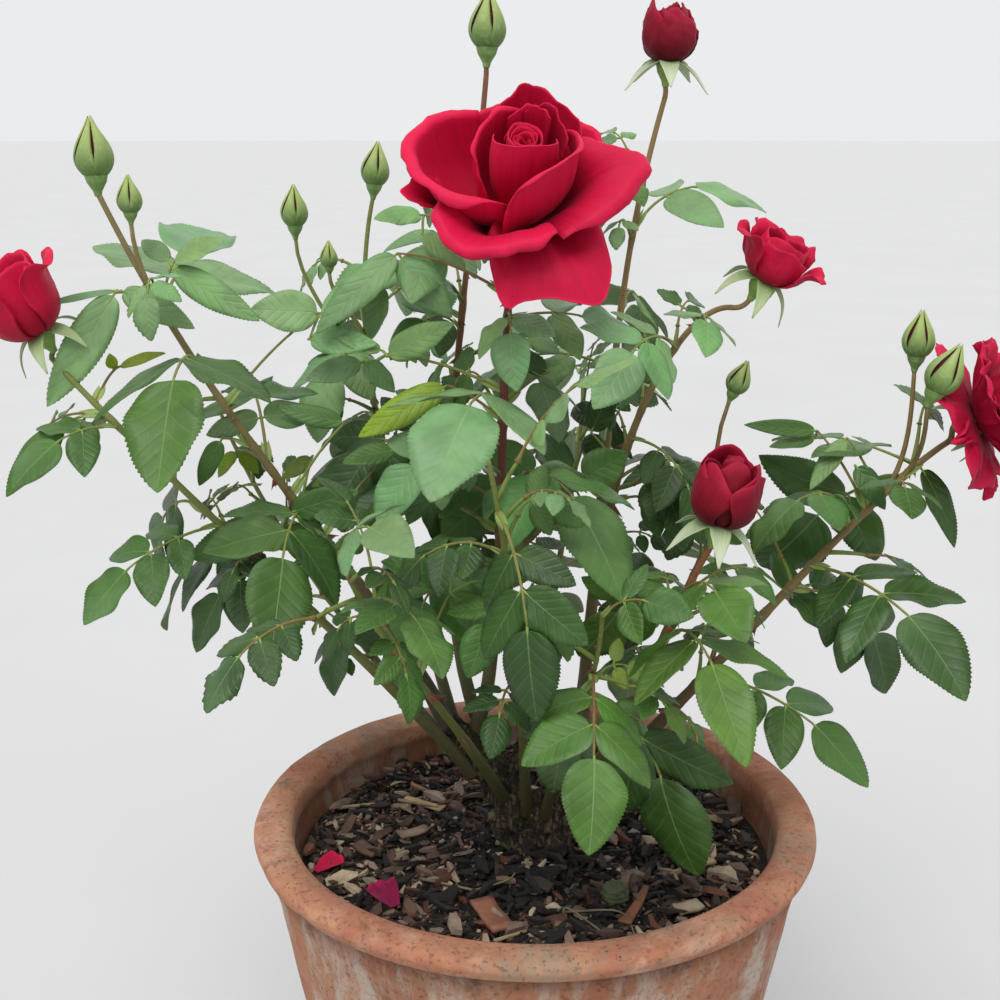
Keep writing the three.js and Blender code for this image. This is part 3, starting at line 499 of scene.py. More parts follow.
def cane_paint():
    """Smooth rose cane: its own colour, blotched, finely streaked lengthwise, with pale pores"""
    p = Paint("cane_skin")
    tint, _ = p.tint()
    around, along = p.place()
    streak = p.noise(2.2, 4, 0.6, p.vector(around * 14, along * 6, p.noise(4)))
    skin = p.scaled(tint, mix(0.65, 1.35, streak))
    skin = p.blend(p.noise(110, 3).ranged(0.55, 0.7) * 0.35, skin, tone("#3B2A18"))
    pores = (1 - p.cells(330).ranged(0.1, 0.2)) * p.noise(90, 2).ranged(0.5, 0.6)
    skin = p.blend(pores * 0.5, skin, tone("#B9A27A"))
    return p.finish(skin, mix(0.42, 0.68, streak), streak + pores * 0.5, 0.0005, 0.7)


# A leaflet's side veins: how many there are, how far they slant to the tip, and how they bend back
SIDE_VEINS, VEIN_SLANT, VEIN_BEND = 6.5, 0.36, 0.06


def leaf_paint():
    """A rose leaflet. Its own map runs from foot to tip and from margin to margin: the midrib is the
    middle line, and the side veins leave it slantwise and curve to the tip. The underside is pale."""
    p = Paint("rose_leaf")
    tint, under = p.tint()
    along, across = p.place()
    off = (across * 2 - 1).unsigned()
    wander = (p.noise(48, 3) - 0.5) * 0.5
    saw = ((along - off * VEIN_SLANT + off * off * VEIN_BEND) * SIDE_VEINS + wander).zigzag(0.5)
    side_vein = (1 - saw.ranged(0.0, 0.065)) * (1 - off.ranged(0.7, 1.0)) * off.ranged(0.0, 0.05)
    midrib = 1 - (off + along * 0.02).ranged(0.012, 0.045)
    net = 1 - p.cells(900, "DISTANCE_TO_EDGE").ranged(0.0, 0.12)
    veins = midrib.or_more(side_vein * 0.42)
    blotch = p.noise(38, 4, 0.6, warp=0.4).ranged(0.3, 0.72)
    face = p.scaled(tint, mix(0.74, 1.2, blotch))
    # Painted sheen: pale patches from noise stand in for the sky's reflection on the leaf
    face = p.blend(p.noise(21, 3).ranged(0.5, 0.75) * 0.22, face, tone("#8FAE82"))
    # Painted shade: darker along the flanks of the side veins, in the quilted grooves
    face = p.blend((1 - saw.ranged(0.03, 0.16)) * off.ranged(0.02, 0.2) * 0.1, face, p.scaled(tint, 0.55))
    face = p.blend(veins * 0.36, face, p.blend(0.5, tint, tone("#B4C88C")))
    back = p.blend(0.6, tint, tone("#93A982"))
    back = p.blend(veins * 0.6, back, tone("#B9C496"))
    colour = p.blend(under, face, back)
    relief = saw.ranged(0.0, 0.3) * 0.34 - midrib * 0.4 + net * -0.08 + p.noise(150, 4) * 0.7
    rough = mix(0.38, 0.56, blotch) + under * 0.25
    return p.finish(colour, rough, relief, 0.0008, 0.55, Specular_IOR_Level=0.42)


def petal_paint():
    """Velvety petal: deep in the folds and at the foot as painted shade, brighter to the lip as a
    painted highlight, with faint ribs that fan out from its foot"""
    p = Paint("rose_petal")
    tint, _ = p.tint()
    across, along = p.place()
    ribs = p.noise(1.0, 4, 0.6, p.vector(across * 34, along * 1.6, p.noise(6)))
    body = p.scaled(tint, mix(0.74, 1.22, ribs))
    # Painted highlight: the lip is blended towards a bright pink
    lip = along.ranged(0.8, 1.0)
    body = p.blend(lip * 0.55, body, p.blend(0.4, tint, tone("#E03058")))
    velvet = dict(Sheen_Weight=0.1, Sheen_Roughness=0.4, Sheen_Tint=(1.0, 0.25, 0.4, 1.0))
    return p.finish(body, mix(0.5, 0.66, ribs), ribs, 0.0006, 0.7, Specular_IOR_Level=0.16, **velvet)


def sepal_paint():
    """Calyx and hip: the sepal's own green, finely ribbed, with a bloom of pale down"""
    p = Paint("rose_calyx")
    tint, _ = p.tint()
    across, along = p.place()
    ribs = p.noise(1.1, 4, 0.6, p.vector(across * 22, along * 2, p.noise(9)))
    body = p.scaled(tint, mix(0.72, 1.3, ribs))
    down = p.noise(320, 4).ranged(0.5, 0.75) * 0.22
    return p.finish(p.blend(down, body, tone("#C5D0A8")), 0.6, ribs, 0.0004, 0.6)


def floor_paint():
    """A plain pale floor"""
    p = Paint("pale_floor")
    pale = p.blend(p.noise(3, 3).ranged(0.3, 0.7), (0.545, 0.545, 0.55), (0.56, 0.56, 0.565))
    return p.finish(pale, 0.9, Specular_IOR_Level=0.1)


# Seeds of the random draws
SEEDS = {"leaves": 11, "small_leaves": 21, "stalks": 8, "prickles": 5, "mulch": 31}

# How the plant grows: the rule of the part's source
POT_HEIGHT, RIM_RADIUS, SOIL_EDGE = 250.0, 140.0, 225.0
TAPER, RACHIS_RADIUS, RACHIS_LONG = 0.6, 1.1, 75.0
LEAFLET_LONG, END_WIDE, SIDE_WIDE = 49.0, 36.0, 32.0
BLADE_ARCH, BLADE_FOLD, LEAF_HALF_THICK, LEAF_MARGIN = 0.14, 0.12, 0.7, 0.35
GOLDEN_TURN, TRIES, HIP_LONG = 137.5, 9, 11.0
LIFT, SHOOT_TIP_LIFT, SIZE, SAG, ROLL = (18, 52), 20, (0.8, 1.12), (0.7, 1.6), (-0.5, 0.5)
THREE_LEAFLETS, TURN_JITTER, RETRY_TURN, RETRY_SHRINK = 0.22, 24, 40, 0.045
YOUNGEST, LAST_LEAF, SHOOT_LEAF = 0.66, 0.9, 0.985
HANG_LIMIT, OVER_POT, OUTER_LIMIT = POT_HEIGHT + 3, RIM_RADIUS + 8, POT_HEIGHT - 30
CLEARING_EDGE, CLEARING_TOP = 8, POT_HEIGHT + 56

# Each cane: its foot, lower and upper third and tip, the radii at foot and tip, the share that is
# bare, its leaves, their size, the first one's turn, what stands at its tip, and the colours of
# its lower and upper length
Cane = namedtuple("Cane", "route radii bare leaves size turn ends low high")
OLIVE, MOSS, TAN, RUST, RED = "#5F6431", "#6F7A38", "#8A7145", "#7A4E30", "#71392B"
CANES = {
    "left_low": ([[-31, 4, 264], [-84, -14, 334], [-156, -24, 414], [-222, -12, 480]],
                 (4.2, 2.0), 0.3, 4, 0.86, 205, "flower", OLIVE, MOSS),
    "left_tall": ([[-43, 11, 286], [-88, 12, 364], [-143, 4, 448], [-198, -2, 553]],
                  (5.4, 2.1), 0.36, 6, 1.0, 250, "bud", "#4E4428", "#7F7244"),
    "centre": ([[-31, 12, 282], [-19, 2, 354], [-16, -4, 446], [-10, -4, 538]],
               (4.4, 2.7), 0.26, 6, 0.98, 300, "flower", OLIVE, RED),
    "back_centre": ([[-20, 21, 267], [-43, 46, 362], [-37, 62, 486], [-24, 66, 606]],
                    (4.4, 2.0), 0.3, 7, 0.9, 20, "bud", OLIVE, RUST),
    "back_left": ([[-40, 20, 280], [-66, 76, 352], [-88, 112, 448], [-86, 128, 545]],
                  (4.2, 1.8), 0.3, 7, 0.92, 100, "bud", OLIVE, MOSS),
    "right_back": ([[20, 16, 257], [34, 44, 390], [44, 60, 496], [63, 62, 596]],
                   (4.4, 2.0), 0.3, 6, 0.92, 70, "flower", OLIVE, TAN),
    "right_upper": ([[26, 9, 261], [34, 14, 390], [60, 6, 474], [89, -6, 502]],
                    (4.0, 2.0), 0.34, 5, 0.9, 350, "flower", "#66602F", TAN),
    "right_main": ([[28, 3, 256], [82, 2, 316], [146, 2, 390], [197, 6, 437]],
                   (4.8, 2.3), 0.34, 4, 0.98, 330, "flower", "#5A4A2C", "#7D6A3C"),
    "front_right": ([[17, -3, 251], [46, -38, 322], [61, -58, 372], [74, -68, 408]],
                    (4.0, 2.2), 0.32, 5, 1.0, 280, "flower", "#6B5A2E", "#8A5A34"),
    "front_middle": ([[-4, -6, 247], [-8, -44, 330], [-14, -68, 396], [-22, -82, 448]],
                     (3.6, 1.7), 0.42, 4, 0.98, 300, "shoot", OLIVE, MOSS),
    "front_left": ([[-15, -4, 254], [-42, -46, 318], [-68, -80, 372], [-82, -104, 416]],
                   (3.6, 1.6), 0.42, 6, 0.98, 240, "shoot", OLIVE, MOSS),
    "back_low": ([[7, 15, 251], [10, 78, 318], [24, 126, 384], [30, 150, 446]],
                 (3.8, 1.7), 0.32, 7, 0.95, 45, "shoot", OLIVE, MOSS),
    "back_right": ([[29, 15, 256], [74, 62, 324], [112, 98, 398], [128, 112, 462]],
                   (4.0, 1.8), 0.32, 7, 0.95, 10, "bud", OLIVE, TAN),
    "back_low_left": ([[-23, 16, 257], [-84, 56, 306], [-136, 84, 370], [-168, 96, 432]],
                      (3.8, 1.6), 0.34, 6, 0.92, 150, "shoot", OLIVE, MOSS),
    "front_centre": ([[5, -10, 248], [14, -48, 306], [22, -72, 344], [26, -88, 384]],
                     (3.2, 1.5), 0.36, 3, 0.95, 200, "shoot", OLIVE, MOSS),
}
CANES = {name: Cane(*row) for name, row in CANES.items()}
NAMES = list(CANES)
CURVES = [curve_through(cane.route) for cane in CANES.values()]


def curve_of(name):
    """The curve of a cane by its name"""
    return CURVES[NAMES.index(name)]


# Leaves with a place of their own: cane, share of it, compass direction, rise, size, sag, roll,
# pairs of leaflets, and the colour of the spray
PLACED_LEAVES = [
    ("left_tall", 0.478, -92, 30, 0.96, 1.02, -0.45, 2, "mid"),
    ("front_centre", 0.732, -93, 10, 0.81, 0.86, -0.25, 2, "fresh"),
    ("front_right", 0.544, -78, 47, 0.97, 0.95, 0.06, 2, "fresh"),
    ("centre", 0.413, -135, 39, 0.87, 1.46, -0.14, 2, "mid"),
    ("centre", 0.522, -54, 66, 1.08, 1.11, -0.16, 2, "soft"),
    ("centre", 0.674, -112, 63, 1.09, 1.03, -0.02, 1, "pale"),
    ("left_tall", 0.749, -92, 41, 1.17, 1.06, 0.13, 1, "mid"),
    ("left_tall", 0.943, 131, -34, 1.12, 0.62, -1.34, 1, "mid"),
    ("right_main", 0.6, -64, 12, 0.93, 0.51, 0.11, 2, "deep"),
    ("right_main", 0.844, 134, -18, 1.12, 0.64, -1.44, 1, "mid"),
    ("front_middle", 0.84, -74, -15, 0.82, 2.06, 0.53, 2, "deep"),
    ("right_main", 0.35, -34, 3, 0.79, 0.58, -0.15, 2, "mid"),
    ("front_centre", 0.641, -28, -19, 1.05, 1.81, 1.2, 1, "deep"),
    ("left_low", 0.831, -139, 15, 0.6, 0.66, 0.03, 1, "mid"),
    ("left_low", 0.624, -147, -1, 0.64, 0.62, 0.08, 2, "mid"),
    ("left_low", 0.419, -85, 30, 0.64, 1.3, -0.74, 1, "deep"),
    ("left_tall", 0.848, 90, 20, 1.22, 0.1, 0.24, 1, "pale"),
    ("back_left", 0.731, -134, 23, 0.74, 0.1, -0.26, 1, "pale"),
    ("back_centre", 0.69, -144, 61, 1, 0.89, 0.24, 1, "pale"),
    ("right_back", 0.785, 12, 63, 0.86, 0.83, -0.11, 1, "pale"),
    ("right_back", 0.529, 105, -50, 0.65, 0.67, -0.16, 1, "deep"),
    ("front_right", 0.783, -75, 41, 0.64, 0.73, 0.22, 1, "fresh"),
    ("front_right", 0.688, 159, 30, 0.69, 1.33, -1.49, 1, "fresh"),
    ("right_main", 0.817, -97, 28, 0.53, 0.54, -0.15, 1, "mid"),
    ("right_main", 0.878, 138, 18, 0.81, 0.25, 0.53, 1, "mid"),
    ("back_centre", 0.656, -140, 56, 0.56, 1, -0.25, 1, "mid"),
    ("centre", 0.845, 6, 17, 0.69, 0.49, -0.06, 1, "pale"),
    ("right_upper", 0.713, 29, 33, 0.5, 0.75, 1.41, 1, "pale"),
    ("left_low", 0.517, -154, 26, 0.63, 1.33, 0.11, 1, "deep"),
    ("front_centre", 0.701, -147, -38, 0.57, 2.12, -0.43, 1, "deep"),
    ("right_main", 0.491, 32, 36, 0.62, 0.55, 0.35, 1, "mid"),
]

# Flowers: the way each faces, its kind and radius
FLOWERS = {
    "centre": ([0.06, -0.66, 0.75], "open", 46),
    "left_low": ([-0.42, -0.3, 0.85], "cupped", 26),
    "right_main": ([0.8, -0.4, 0.44], "blowsy", 31),
    "right_upper": ([0.62, -0.2, 0.76], "cupped", 23),
    "right_back": ([0.06, -0.04, 1], "closed", 14),
    "front_right": ([0.2, -0.1, 0.98], "closed", 17.5),
}
CORE_HEIGHT = {"open": 0.98, "blowsy": 0.86, "cupped": 1.3, "closed": 1.9}

# Side twigs with a second bud: cane, share of it, tip and size
BUD_TWIGS = [
    ("left_tall", 0.72, [-183, -6, 540], 0.72),
    ("right_main", 0.76, [177, 4, 472], 0.9),
    ("right_main", 0.82, [177, -20, 460], 0.95),
    ("right_upper", 0.42, [92.5, 14, 455], 0.8),
    ("back_left", 0.6, [-128, 122, 524], 0.95),
    ("back_left", 0.72, [-108, 104, 506], 0.6),
]


def twig_curve(cane, at, tip):
    """A twig that leaves a cane's curve along it and comes up to its tip from below"""
    root, tip = bezier(cane, at), np.array(tip, float)
    long = np.linalg.norm(tip - root)
    return np.array([root, root + heading(cane, at) * long * 0.35, tip - UP * long * 0.3, tip])


TWIGS = [
    (NAMES.index(name), twig_curve(curve_of(name), at, tip), size)
    for name, at, tip, size in BUD_TWIGS
]


class Boxes:
    """Oriented boxes that keep each leaf clear: centres, axes, half sizes and the cane of each"""

    def __init__(self, centre, axes, halves, cane=None):
        self.centre, self.axes, self.halves = centre, axes, halves
        self.reach = np.linalg.norm(halves, axis=-1)
        self.cane = np.full(len(centre), -1) if cane is None else cane

    def plus(self, other):
        """These boxes and others"""
        keys = ("centre", "axes", "halves", "cane")
        return Boxes(*[np.concatenate([getattr(self, k), getattr(other, k)]) for k in keys])


def box_along(p, q, radius):
    """Boxes from points to points, as wide as twice a radius"""
    axis = unit(q - p)
    side = unit(np.cross(axis, np.where(np.abs(axis[:, 2:]) < 0.9, UP, np.array([1.0, 0, 0]))))
    half = np.linalg.norm(q - p, axis=-1) / 2
    r = np.full(len(p), float(radius))
    axes = np.stack([axis, side, np.cross(axis, side)], 1)
    return Boxes((p + q) / 2, axes, np.stack([half, r, r], 1))


def boxes_of_curve(curve, start, end, radius, count):
    """A run of boxes along a stretch of a curve"""
    p = bezier(curve, mix(start, end, np.arange(count + 1) / count))
    return box_along(p[:-1], p[1:], radius + LEAF_MARGIN)


def standing(foot, face, radius, height):
    """The box of a bloom or bud that stands on a foot"""
    face = unit(np.array(face, float))
    return box_along((foot + face)[None], (foot + face * height)[None], radius)


def meets(p, i, q):
    """Which of the boxes q meet box i of p: none of the fifteen axes may part them"""
    gap = q.centre - p.centre[i]
    hit = np.linalg.norm(gap, axis=-1) <= p.reach[i] + q.reach
    near = np.flatnonzero(hit)
    if not len(near):
        return hit
    gap, axes, halves = gap[near], q.axes[near], q.halves[near]
    own = np.broadcast_to(p.axes[i], axes.shape)
    crosses = np.cross(own[:, :, None, :], axes[:, None, :, :]).reshape(len(near), 9, 3)
    tests = np.concatenate([own, axes, crosses], 1)
    spread = np.abs(np.einsum("nkc,nac->nka", tests, own)) @ p.halves[i]
    spread += np.einsum("nka,na->nk", np.abs(np.einsum("nkc,nac->nka", tests, axes)), halves)
    apart = np.abs(np.einsum("nkc,nc->nk", tests, gap)) > spread
    apart &= np.linalg.norm(tests, axis=-1) > 1e-6
    hit[near] = ~apart.any(1)
    return hit


# How many boxes of a leaf, counted from its root, may touch the leaf's own cane
AT_ROOT = 2


def is_free(boxes, taken, cane):
    """Leaves stay above the rim over the pot, and clear of all that has grown"""
    drop = np.sum(np.abs(boxes.axes[:, :, 2]) * boxes.halves, 1)
    x, y, z = boxes.centre.T
    limit = np.where((x < CLEARING_EDGE) & (y < 0), CLEARING_TOP, HANG_LIMIT)
    limit = np.where(np.hypot(x, y) - boxes.halves[:, 0] > OVER_POT, OUTER_LIMIT, limit)
    if not (z - drop > limit).all():
        return False
    for i in range(len(boxes.centre)):
        hit = meets(boxes, i, taken)
        if i < AT_ROOT:
            hit &= taken.cane != cane
        if hit.any():
            return False
    return True


def compound_leaf(root, outward, size, sag, roll, pairs):
    """A whole rose leaf: an arching rachis with one leaflet at its tip and pairs along it. Each
    leaflet is its foot, its direction, its upper side, its length and its width. sag draws the
    leaf's outer half down, and roll turns its upper side about it."""
    long = mix(0.66, 1, pairs - 1) * RACHIS_LONG * size
    knee = root + outward * long / 2
    drooped = unit(outward - UP * sag)
    curve = np.array([root, knee, knee + drooped * long / 2])
    upper = turned(square(UP + outward * 0.5 + FRONT * 0.7, drooped), drooped, np.array(roll))
    leaflets = []

    def leaflet(at, swing, share):
        """Adds the leaflet at a share of the rachis, swung out by an angle, at a share of full size"""
        stem = heading(curve, at)
        face = square(upper, stem)
        ahead = unit(stem * math.cos(swing) + np.cross(stem, face) * math.sin(swing))
        hung = unit(ahead - UP * 0.3 * sag)
        wide = (END_WIDE if swing == 0 else SIDE_WIDE) * size * share
        leaflets.append((bezier(curve, at), hung, square(face, hung), LEAFLET_LONG * size * share, wide))

    leaflet(1.0, 0.0, 1.0)
    for pair in range(pairs - 1, -1, -1):
        at = 0.62 if pairs == 1 else 0.74 - pair * 0.3
        swing = math.radians(64 + 8 * pair)
        leaflet(at, -swing, 0.86 - pair * 0.15)
        leaflet(at, swing, 0.86 - pair * 0.15)
    return {"curve": curve, "upper": upper, "leaflets": leaflets, "size": size}


def leaf_boxes(leaf):
    """The room of a leaf: boxes along its rachis and one for each leaflet, along its chord"""
    boxes = boxes_of_curve(leaf["curve"], 0.12, 1, RACHIS_RADIUS, 3)
    root, ahead, face, long, wide = [np.array(v) for v in zip(*leaf["leaflets"])]
    long, wide = long[:, None], wide[:, None]
    tip = root + ahead * long - face * BLADE_ARCH * long
    chord = tip - root
    along = unit(chord)
    upper = square(face, along)
    middle = root + ahead * long / 2 - face * BLADE_ARCH * long / 4
    rise = BLADE_ARCH * long / 8 + BLADE_FOLD * wide / 5
    half = np.linalg.norm(chord, axis=-1, keepdims=True) / 2
    halves = np.concatenate([half, wide / 2 + LEAF_MARGIN, rise + LEAF_HALF_THICK + LEAF_MARGIN], -1)
    axes = np.stack([along, np.cross(along, upper), upper], 1)
    return boxes.plus(Boxes((middle + (root + tip) / 2) / 2, axes, halves))


BUD_RADIUS, BUD_TALL = 8, 34


def limb_boxes():
    """The room of every cane, its bud twigs and what stands on them"""
    rooms = []
    for i, (name, cane) in enumerate(CANES.items()):
        own = boxes_of_curve(CURVES[i], 0, 1, cane.radii[0] * 0.8, 12)
        own.cane[:] = i
        rooms.append(own)
        for k, curve, _ in TWIGS:
            if k == i:
                rooms.append(boxes_of_curve(curve, 0.1, 1, 1.6, 4))
                rooms.append(standing(curve[-1], heading(curve, 1), BUD_RADIUS, BUD_TALL))
        if name in FLOWERS:
            face, kind, radius = FLOWERS[name]
            height = CORE_HEIGHT[kind] * radius + HIP_LONG
            rooms.append(standing(CURVES[i][-1], face, radius * 1.08, height))
        if cane.ends == "bud":
            rooms.append(standing(CURVES[i][-1], heading(CURVES[i], 1), BUD_RADIUS, BUD_TALL))
    taken = rooms[0]
    for room in rooms[1:]:
        taken = taken.plus(room)
    return taken


def grow_leaves():
    """Every leaf of the part's source, those with a place of their own first, each with its cane,
    its share of the cane and its own draw"""
    taken, grown = limb_boxes(), []

    def keep(i, at, leaf, colour, luck):
        """Adds a leaf if its room is free, and says whether it was"""
        nonlocal taken
        boxes = leaf_boxes(leaf)
        if not is_free(boxes, taken, i):
            return False
        taken = taken.plus(boxes)
        grown.append({**leaf, "cane": i, "at": at, "colour": colour, "luck": luck})
        return True

    for name, at, compass, rise, size, sag, roll, pairs, colour in PLACED_LEAVES:
        i = NAMES.index(name)
        a, e = math.radians(compass), math.radians(rise)
        outward = np.array([math.cos(e) * math.cos(a), math.cos(e) * math.sin(a), math.sin(e)])
        leaf = compound_leaf(bezier(CURVES[i], at), outward, size, sag, roll, pairs)
        keep(i, at, leaf, colour, 0.5)
    for order in range(max(cane.leaves for cane in CANES.values())):
        for i, cane in enumerate(CANES.values()):
            if order >= cane.leaves:
                continue
            draw = seeded(i * 40 + order + 1)
            share = (order + 0.35 + 0.3 * draw()) / cane.leaves
            last = order == cane.leaves - 1
            here = cane.ends == "shoot" and last
            at = SHOOT_LEAF if here else mix(cane.bare, LAST_LEAF, share)
            tangent, side, over = frame_at(CURVES[i], at)
            young = mix(1, YOUNGEST, share**2)
            for attempt in range(TRIES):
                sway = attempt * RETRY_TURN + TURN_JITTER * (draw() - 0.5)
                turn = math.radians(cane.turn + GOLDEN_TURN * order + sway)
                lift = math.radians(mix(*LIFT, draw()) + (SHOOT_TIP_LIFT if here else 0))
                out = side * math.cos(turn) + over * math.sin(turn)
                ahead = unit(out * math.cos(lift) + tangent * math.sin(lift))
                size = cane.size * young * mix(*SIZE, draw()) * (1 - RETRY_SHRINK * attempt)
                pairs = 1 if (draw() < THREE_LEAFLETS or last) else 2
                sag, roll = mix(*SAG, draw()), mix(*ROLL, draw())
                leaf = compound_leaf(bezier(CURVES[i], at), ahead, size, sag, roll, pairs)
                if keep(i, at, leaf, None, draw()):
                    break
    return grown, taken


SPRIGS, SPRIG_TRIES = 8, 6


def grow_sprigs(taken):
    """Finer growth in the room between the leaves: short side twigs with a small leaf at the tip,
    found by the same rule"""
    sprigs = []
    for order in range(SPRIGS):
        for i, cane in enumerate(CANES.values()):
            draw = seeded(4000 + i * 60 + order)
            at = mix(cane.bare * 0.9, 0.93, (order + draw()) / SPRIGS)
            tangent, side, over = frame_at(CURVES[i], at)
            root = bezier(CURVES[i], at)
            for attempt in range(SPRIG_TRIES):
                turn = cane.turn + 60 + GOLDEN_TURN * order + 50 * attempt + 30 * draw()
                turn, lift = math.radians(turn), math.radians(mix(20, 60, draw()))
                out = side * math.cos(turn) + over * math.sin(turn)
                ahead = unit(out * math.cos(lift) + tangent * math.sin(lift))
                size = cane.size * mix(0.34, 0.62, draw()) * (1 - 0.05 * attempt)
                pairs = 1 if draw() < 0.45 else 2
                knee = root + ahead * mix(6, 26, draw())
                outward = unit(ahead + UP * mix(-0.2, 0.5, draw()))
                sag, roll = mix(0.5, 1.5, draw()), mix(-0.7, 0.7, draw())
                leaf = compound_leaf(knee, outward, size, sag, roll, pairs)
                boxes = leaf_boxes(leaf)
                if is_free(boxes, taken, i):
                    taken = taken.plus(boxes)
                    twig = np.array([root, mix(root, knee, 0.6) + tangent * 1.5, knee])
                    own = {"cane": i, "at": at, "colour": None, "luck": draw(), "twig": twig}
                    sprigs.append({**leaf, **own})
                    break
    return sprigs


# Leaves on side shoots: the cane that each shoot leaves, its colour, and its leaflets with foot,
# tip and width
SIDE_SPRAYS = [
    ("centre", "pale", [((-65, 12, 525), (-100, -6, 494), 20), ((-64, 12, 524), (-42, 4, 497), 20)]),
    ("back_left", "pale", [((-73, 26, 509), (-81, 20, 485), 14)]),
    ("left_tall", "pale", [((-102, 14, 497), (-130, 2, 501), 21), ((-108, 12, 485), (-78, 0, 485), 15)]),
    ("centre", "pale", [((-70, 4, 478), (-43, -10, 495), 17), ((-72, 8, 480), (-92, 4, 487), 10)]),
    ("back_left", "pale", [((-84, 30, 471), (-109, 18, 466), 15), ((-84, 30, 472), (-69, 22, 460), 14)]),
    ("centre", "lime", [((-42, 0, 465), (-81, -14, 446), 18)]),
    ("left_tall", "mid", [((-68, 22, 429), (-92, 10, 428), 13)]),
    ("left_tall", "mid", [((-93, 24, 442), (-122, 16, 451), 12)]),
    ("left_tall", "mid", [((-119, -16, 400), (-85, -30, 382), 21), ((-116, -14, 407), (-85, -26, 421), 15),
                          ((-121, -14, 402), (-161, -22, 387), 23)]),
    ("centre", "deep", [((-68, 20, 411), (-90, 10, 396), 22)]),
    ("front_left", "mid", [((-40, -42, 377), (-14, -58, 362), 19), ((-39, -40, 382), (-66, -54, 396), 16),
                           ((-31, -38, 381), (-3, -44, 388), 14)]),
    ("centre", "mid", [((22, -2, 420), (39, -14, 435), 22)]),
    ("right_upper", "deep", [((27, 20, 438), (36, 10, 464), 15)]),
    ("centre", "mid", [((6, 14, 469), (-17, 6, 481), 12)]),
    ("centre", "pale", [((-53, 20, 542), (-73, 8, 543), 14), ((-54, 16, 534), (-34, 8, 521), 14)]),
    ("left_tall", "pale", [((-192, -8, 509), (-220, -24, 461), 19), ((-190, -6, 510), (-158, -16, 497), 14),
                           ((-191, -6, 510), (-221, -20, 506), 5)]),
    ("left_tall", "pale", [((-167, -2, 520), (-130, -16, 498), 15), ((-168, 0, 522), (-183, 10, 533), 11),
                           ((-167, 0, 522), (-144, -8, 533), 14)]),
    ("left_low", "fresh", [((-215, -24, 452), (-241, -38, 425), 16),
                           ((-206, -22, 454), (-204, -32, 438), 14)]),
    ("right_main", "mid", [((137, 20, 439), (104, 10, 444), 10), ((137, 22, 435), (114, 12, 434), 8)]),
    ("right_main", "pale", [((150, 14, 437), (131, 0, 418), 11)]),
    ("right_main", "deep", [((183, 2, 425), (204, -8, 392), 17)]),
    ("left_tall", "mid", [((-151, 12, 437), (-162, 4, 417), 12)]),
    ("right_main", "mid", [((152, 4, 426), (165, -8, 409), 14)]),
    ("left_low", "lime", [((-198, 10, 472), (-176, 4, 480), 8), ((-200, 10, 470), (-201, 8, 478), 6)]),
    ("left_tall", "lime", [((-150, 44, 424), (-160, 38, 413), 9), ((-149, 44, 424), (-140, 38, 414), 9)]),
    ("left_tall", "lime", [((-112, 44, 421), (-126, 38, 411), 9)]),
    ("centre", "lime", [((-91, 50, 414), (-113, 46, 405), 8)]),
]


def grow_side_sprays():
    """Each side shoot leaves its cane a little below its first leaflet and arches up to it, and its
    leaflets face up and to the front, rolled a little to either side"""
    made = []
    for order, (name, colour, leaflets) in enumerate(SIDE_SPRAYS):
        i = NAMES.index(name)
        share = np.linspace(0.25, 0.97, 60)
        path = bezier(CURVES[i], share)
        joint = np.array(leaflets[0][0], float)
        near = int(np.argmin(np.linalg.norm(path - joint + UP * 14, axis=1)))
        knee = mix(path[near], joint, 0.55) + UP * 0.14 * np.linalg.norm(joint - path[near])
        parts, stalks = [], []
        for lane, (foot, tip, wide) in enumerate(leaflets):
            foot, tip = np.array(foot, float), np.array(tip, float)
            ahead = unit(tip - foot)
            roll = 0.3 * math.sin(2.4 * order + 2 * lane)
            face = turned(square(UP * 0.6 + FRONT, ahead), ahead, np.array(roll))
            parts.append((foot, ahead, face, np.linalg.norm(tip - foot) * 1.04, float(wide)))
            if np.linalg.norm(foot - joint) > 1:
                stalks.append(np.array([joint, mix(joint, foot, 0.5) + UP * 0.5, foot + ahead]))
        curve = np.array([path[near], knee, joint])
        upper = square(UP + FRONT, unit(joint - knee))
        made.append({"curve": curve, "upper": upper, "leaflets": parts, "size": 0.8, "cane": i,
                     "at": share[near], "colour": colour, "luck": 0.5, "stalks": stalks})
    return made


# Openings that the bush keeps, each a box from one corner to the other. A leaf or sprig whose end
# leaflet stands in one isn't drawn.
OPENINGS = [
    ((-112, -150, 250), (-20, -20, 352)),
    ((-215, -60, 290), (-128, 80, 345)),
    ((62, -40, 425), (118, 30, 478)),
    ((-70, -60, 575), (-30, 66, 640)),
    ((70, 40, 484), (98, 105, 518)),
    ((98, 60, 335), (190, 150, 445)),
    ((70, 80, 405), (78, 92, 416)),
    ((-190, 40, 560), (-175, 60, 580)),
    ((-220, 100, 380), (-200, 135, 425)),
    ((-226, 30, 465), (-218, 45, 475)),
    ((-30, -140, 446), (-12, -125, 460)),
    ((125, -80, 325), (140, -68, 340)),
    ((188, 8, 378), (222, 30, 400)),
    ((-150, -70, 430), (-120, -40, 455)),
    ((-196, 64, 366), (-184, 78, 380)),
    ((-160, 32, 405), (-148, 44, 417)),
]


def in_opening(leaf):
    """Whether the end leaflet's middle stands in an opening"""
    foot, ahead, _, long, _ = leaf["leaflets"][0]
    middle = foot + ahead * long / 2
    return any(np.all((middle > low) & (middle < high)) for low, high in OPENINGS)


# Five placed leaves are drawn slimmer than in the solids: the row of each and the share of its
# width that it keeps
SLIMMER = {2: 0.7, 6: 0.84, 8: 0.88, 4: 0.9, 7: 0.85}


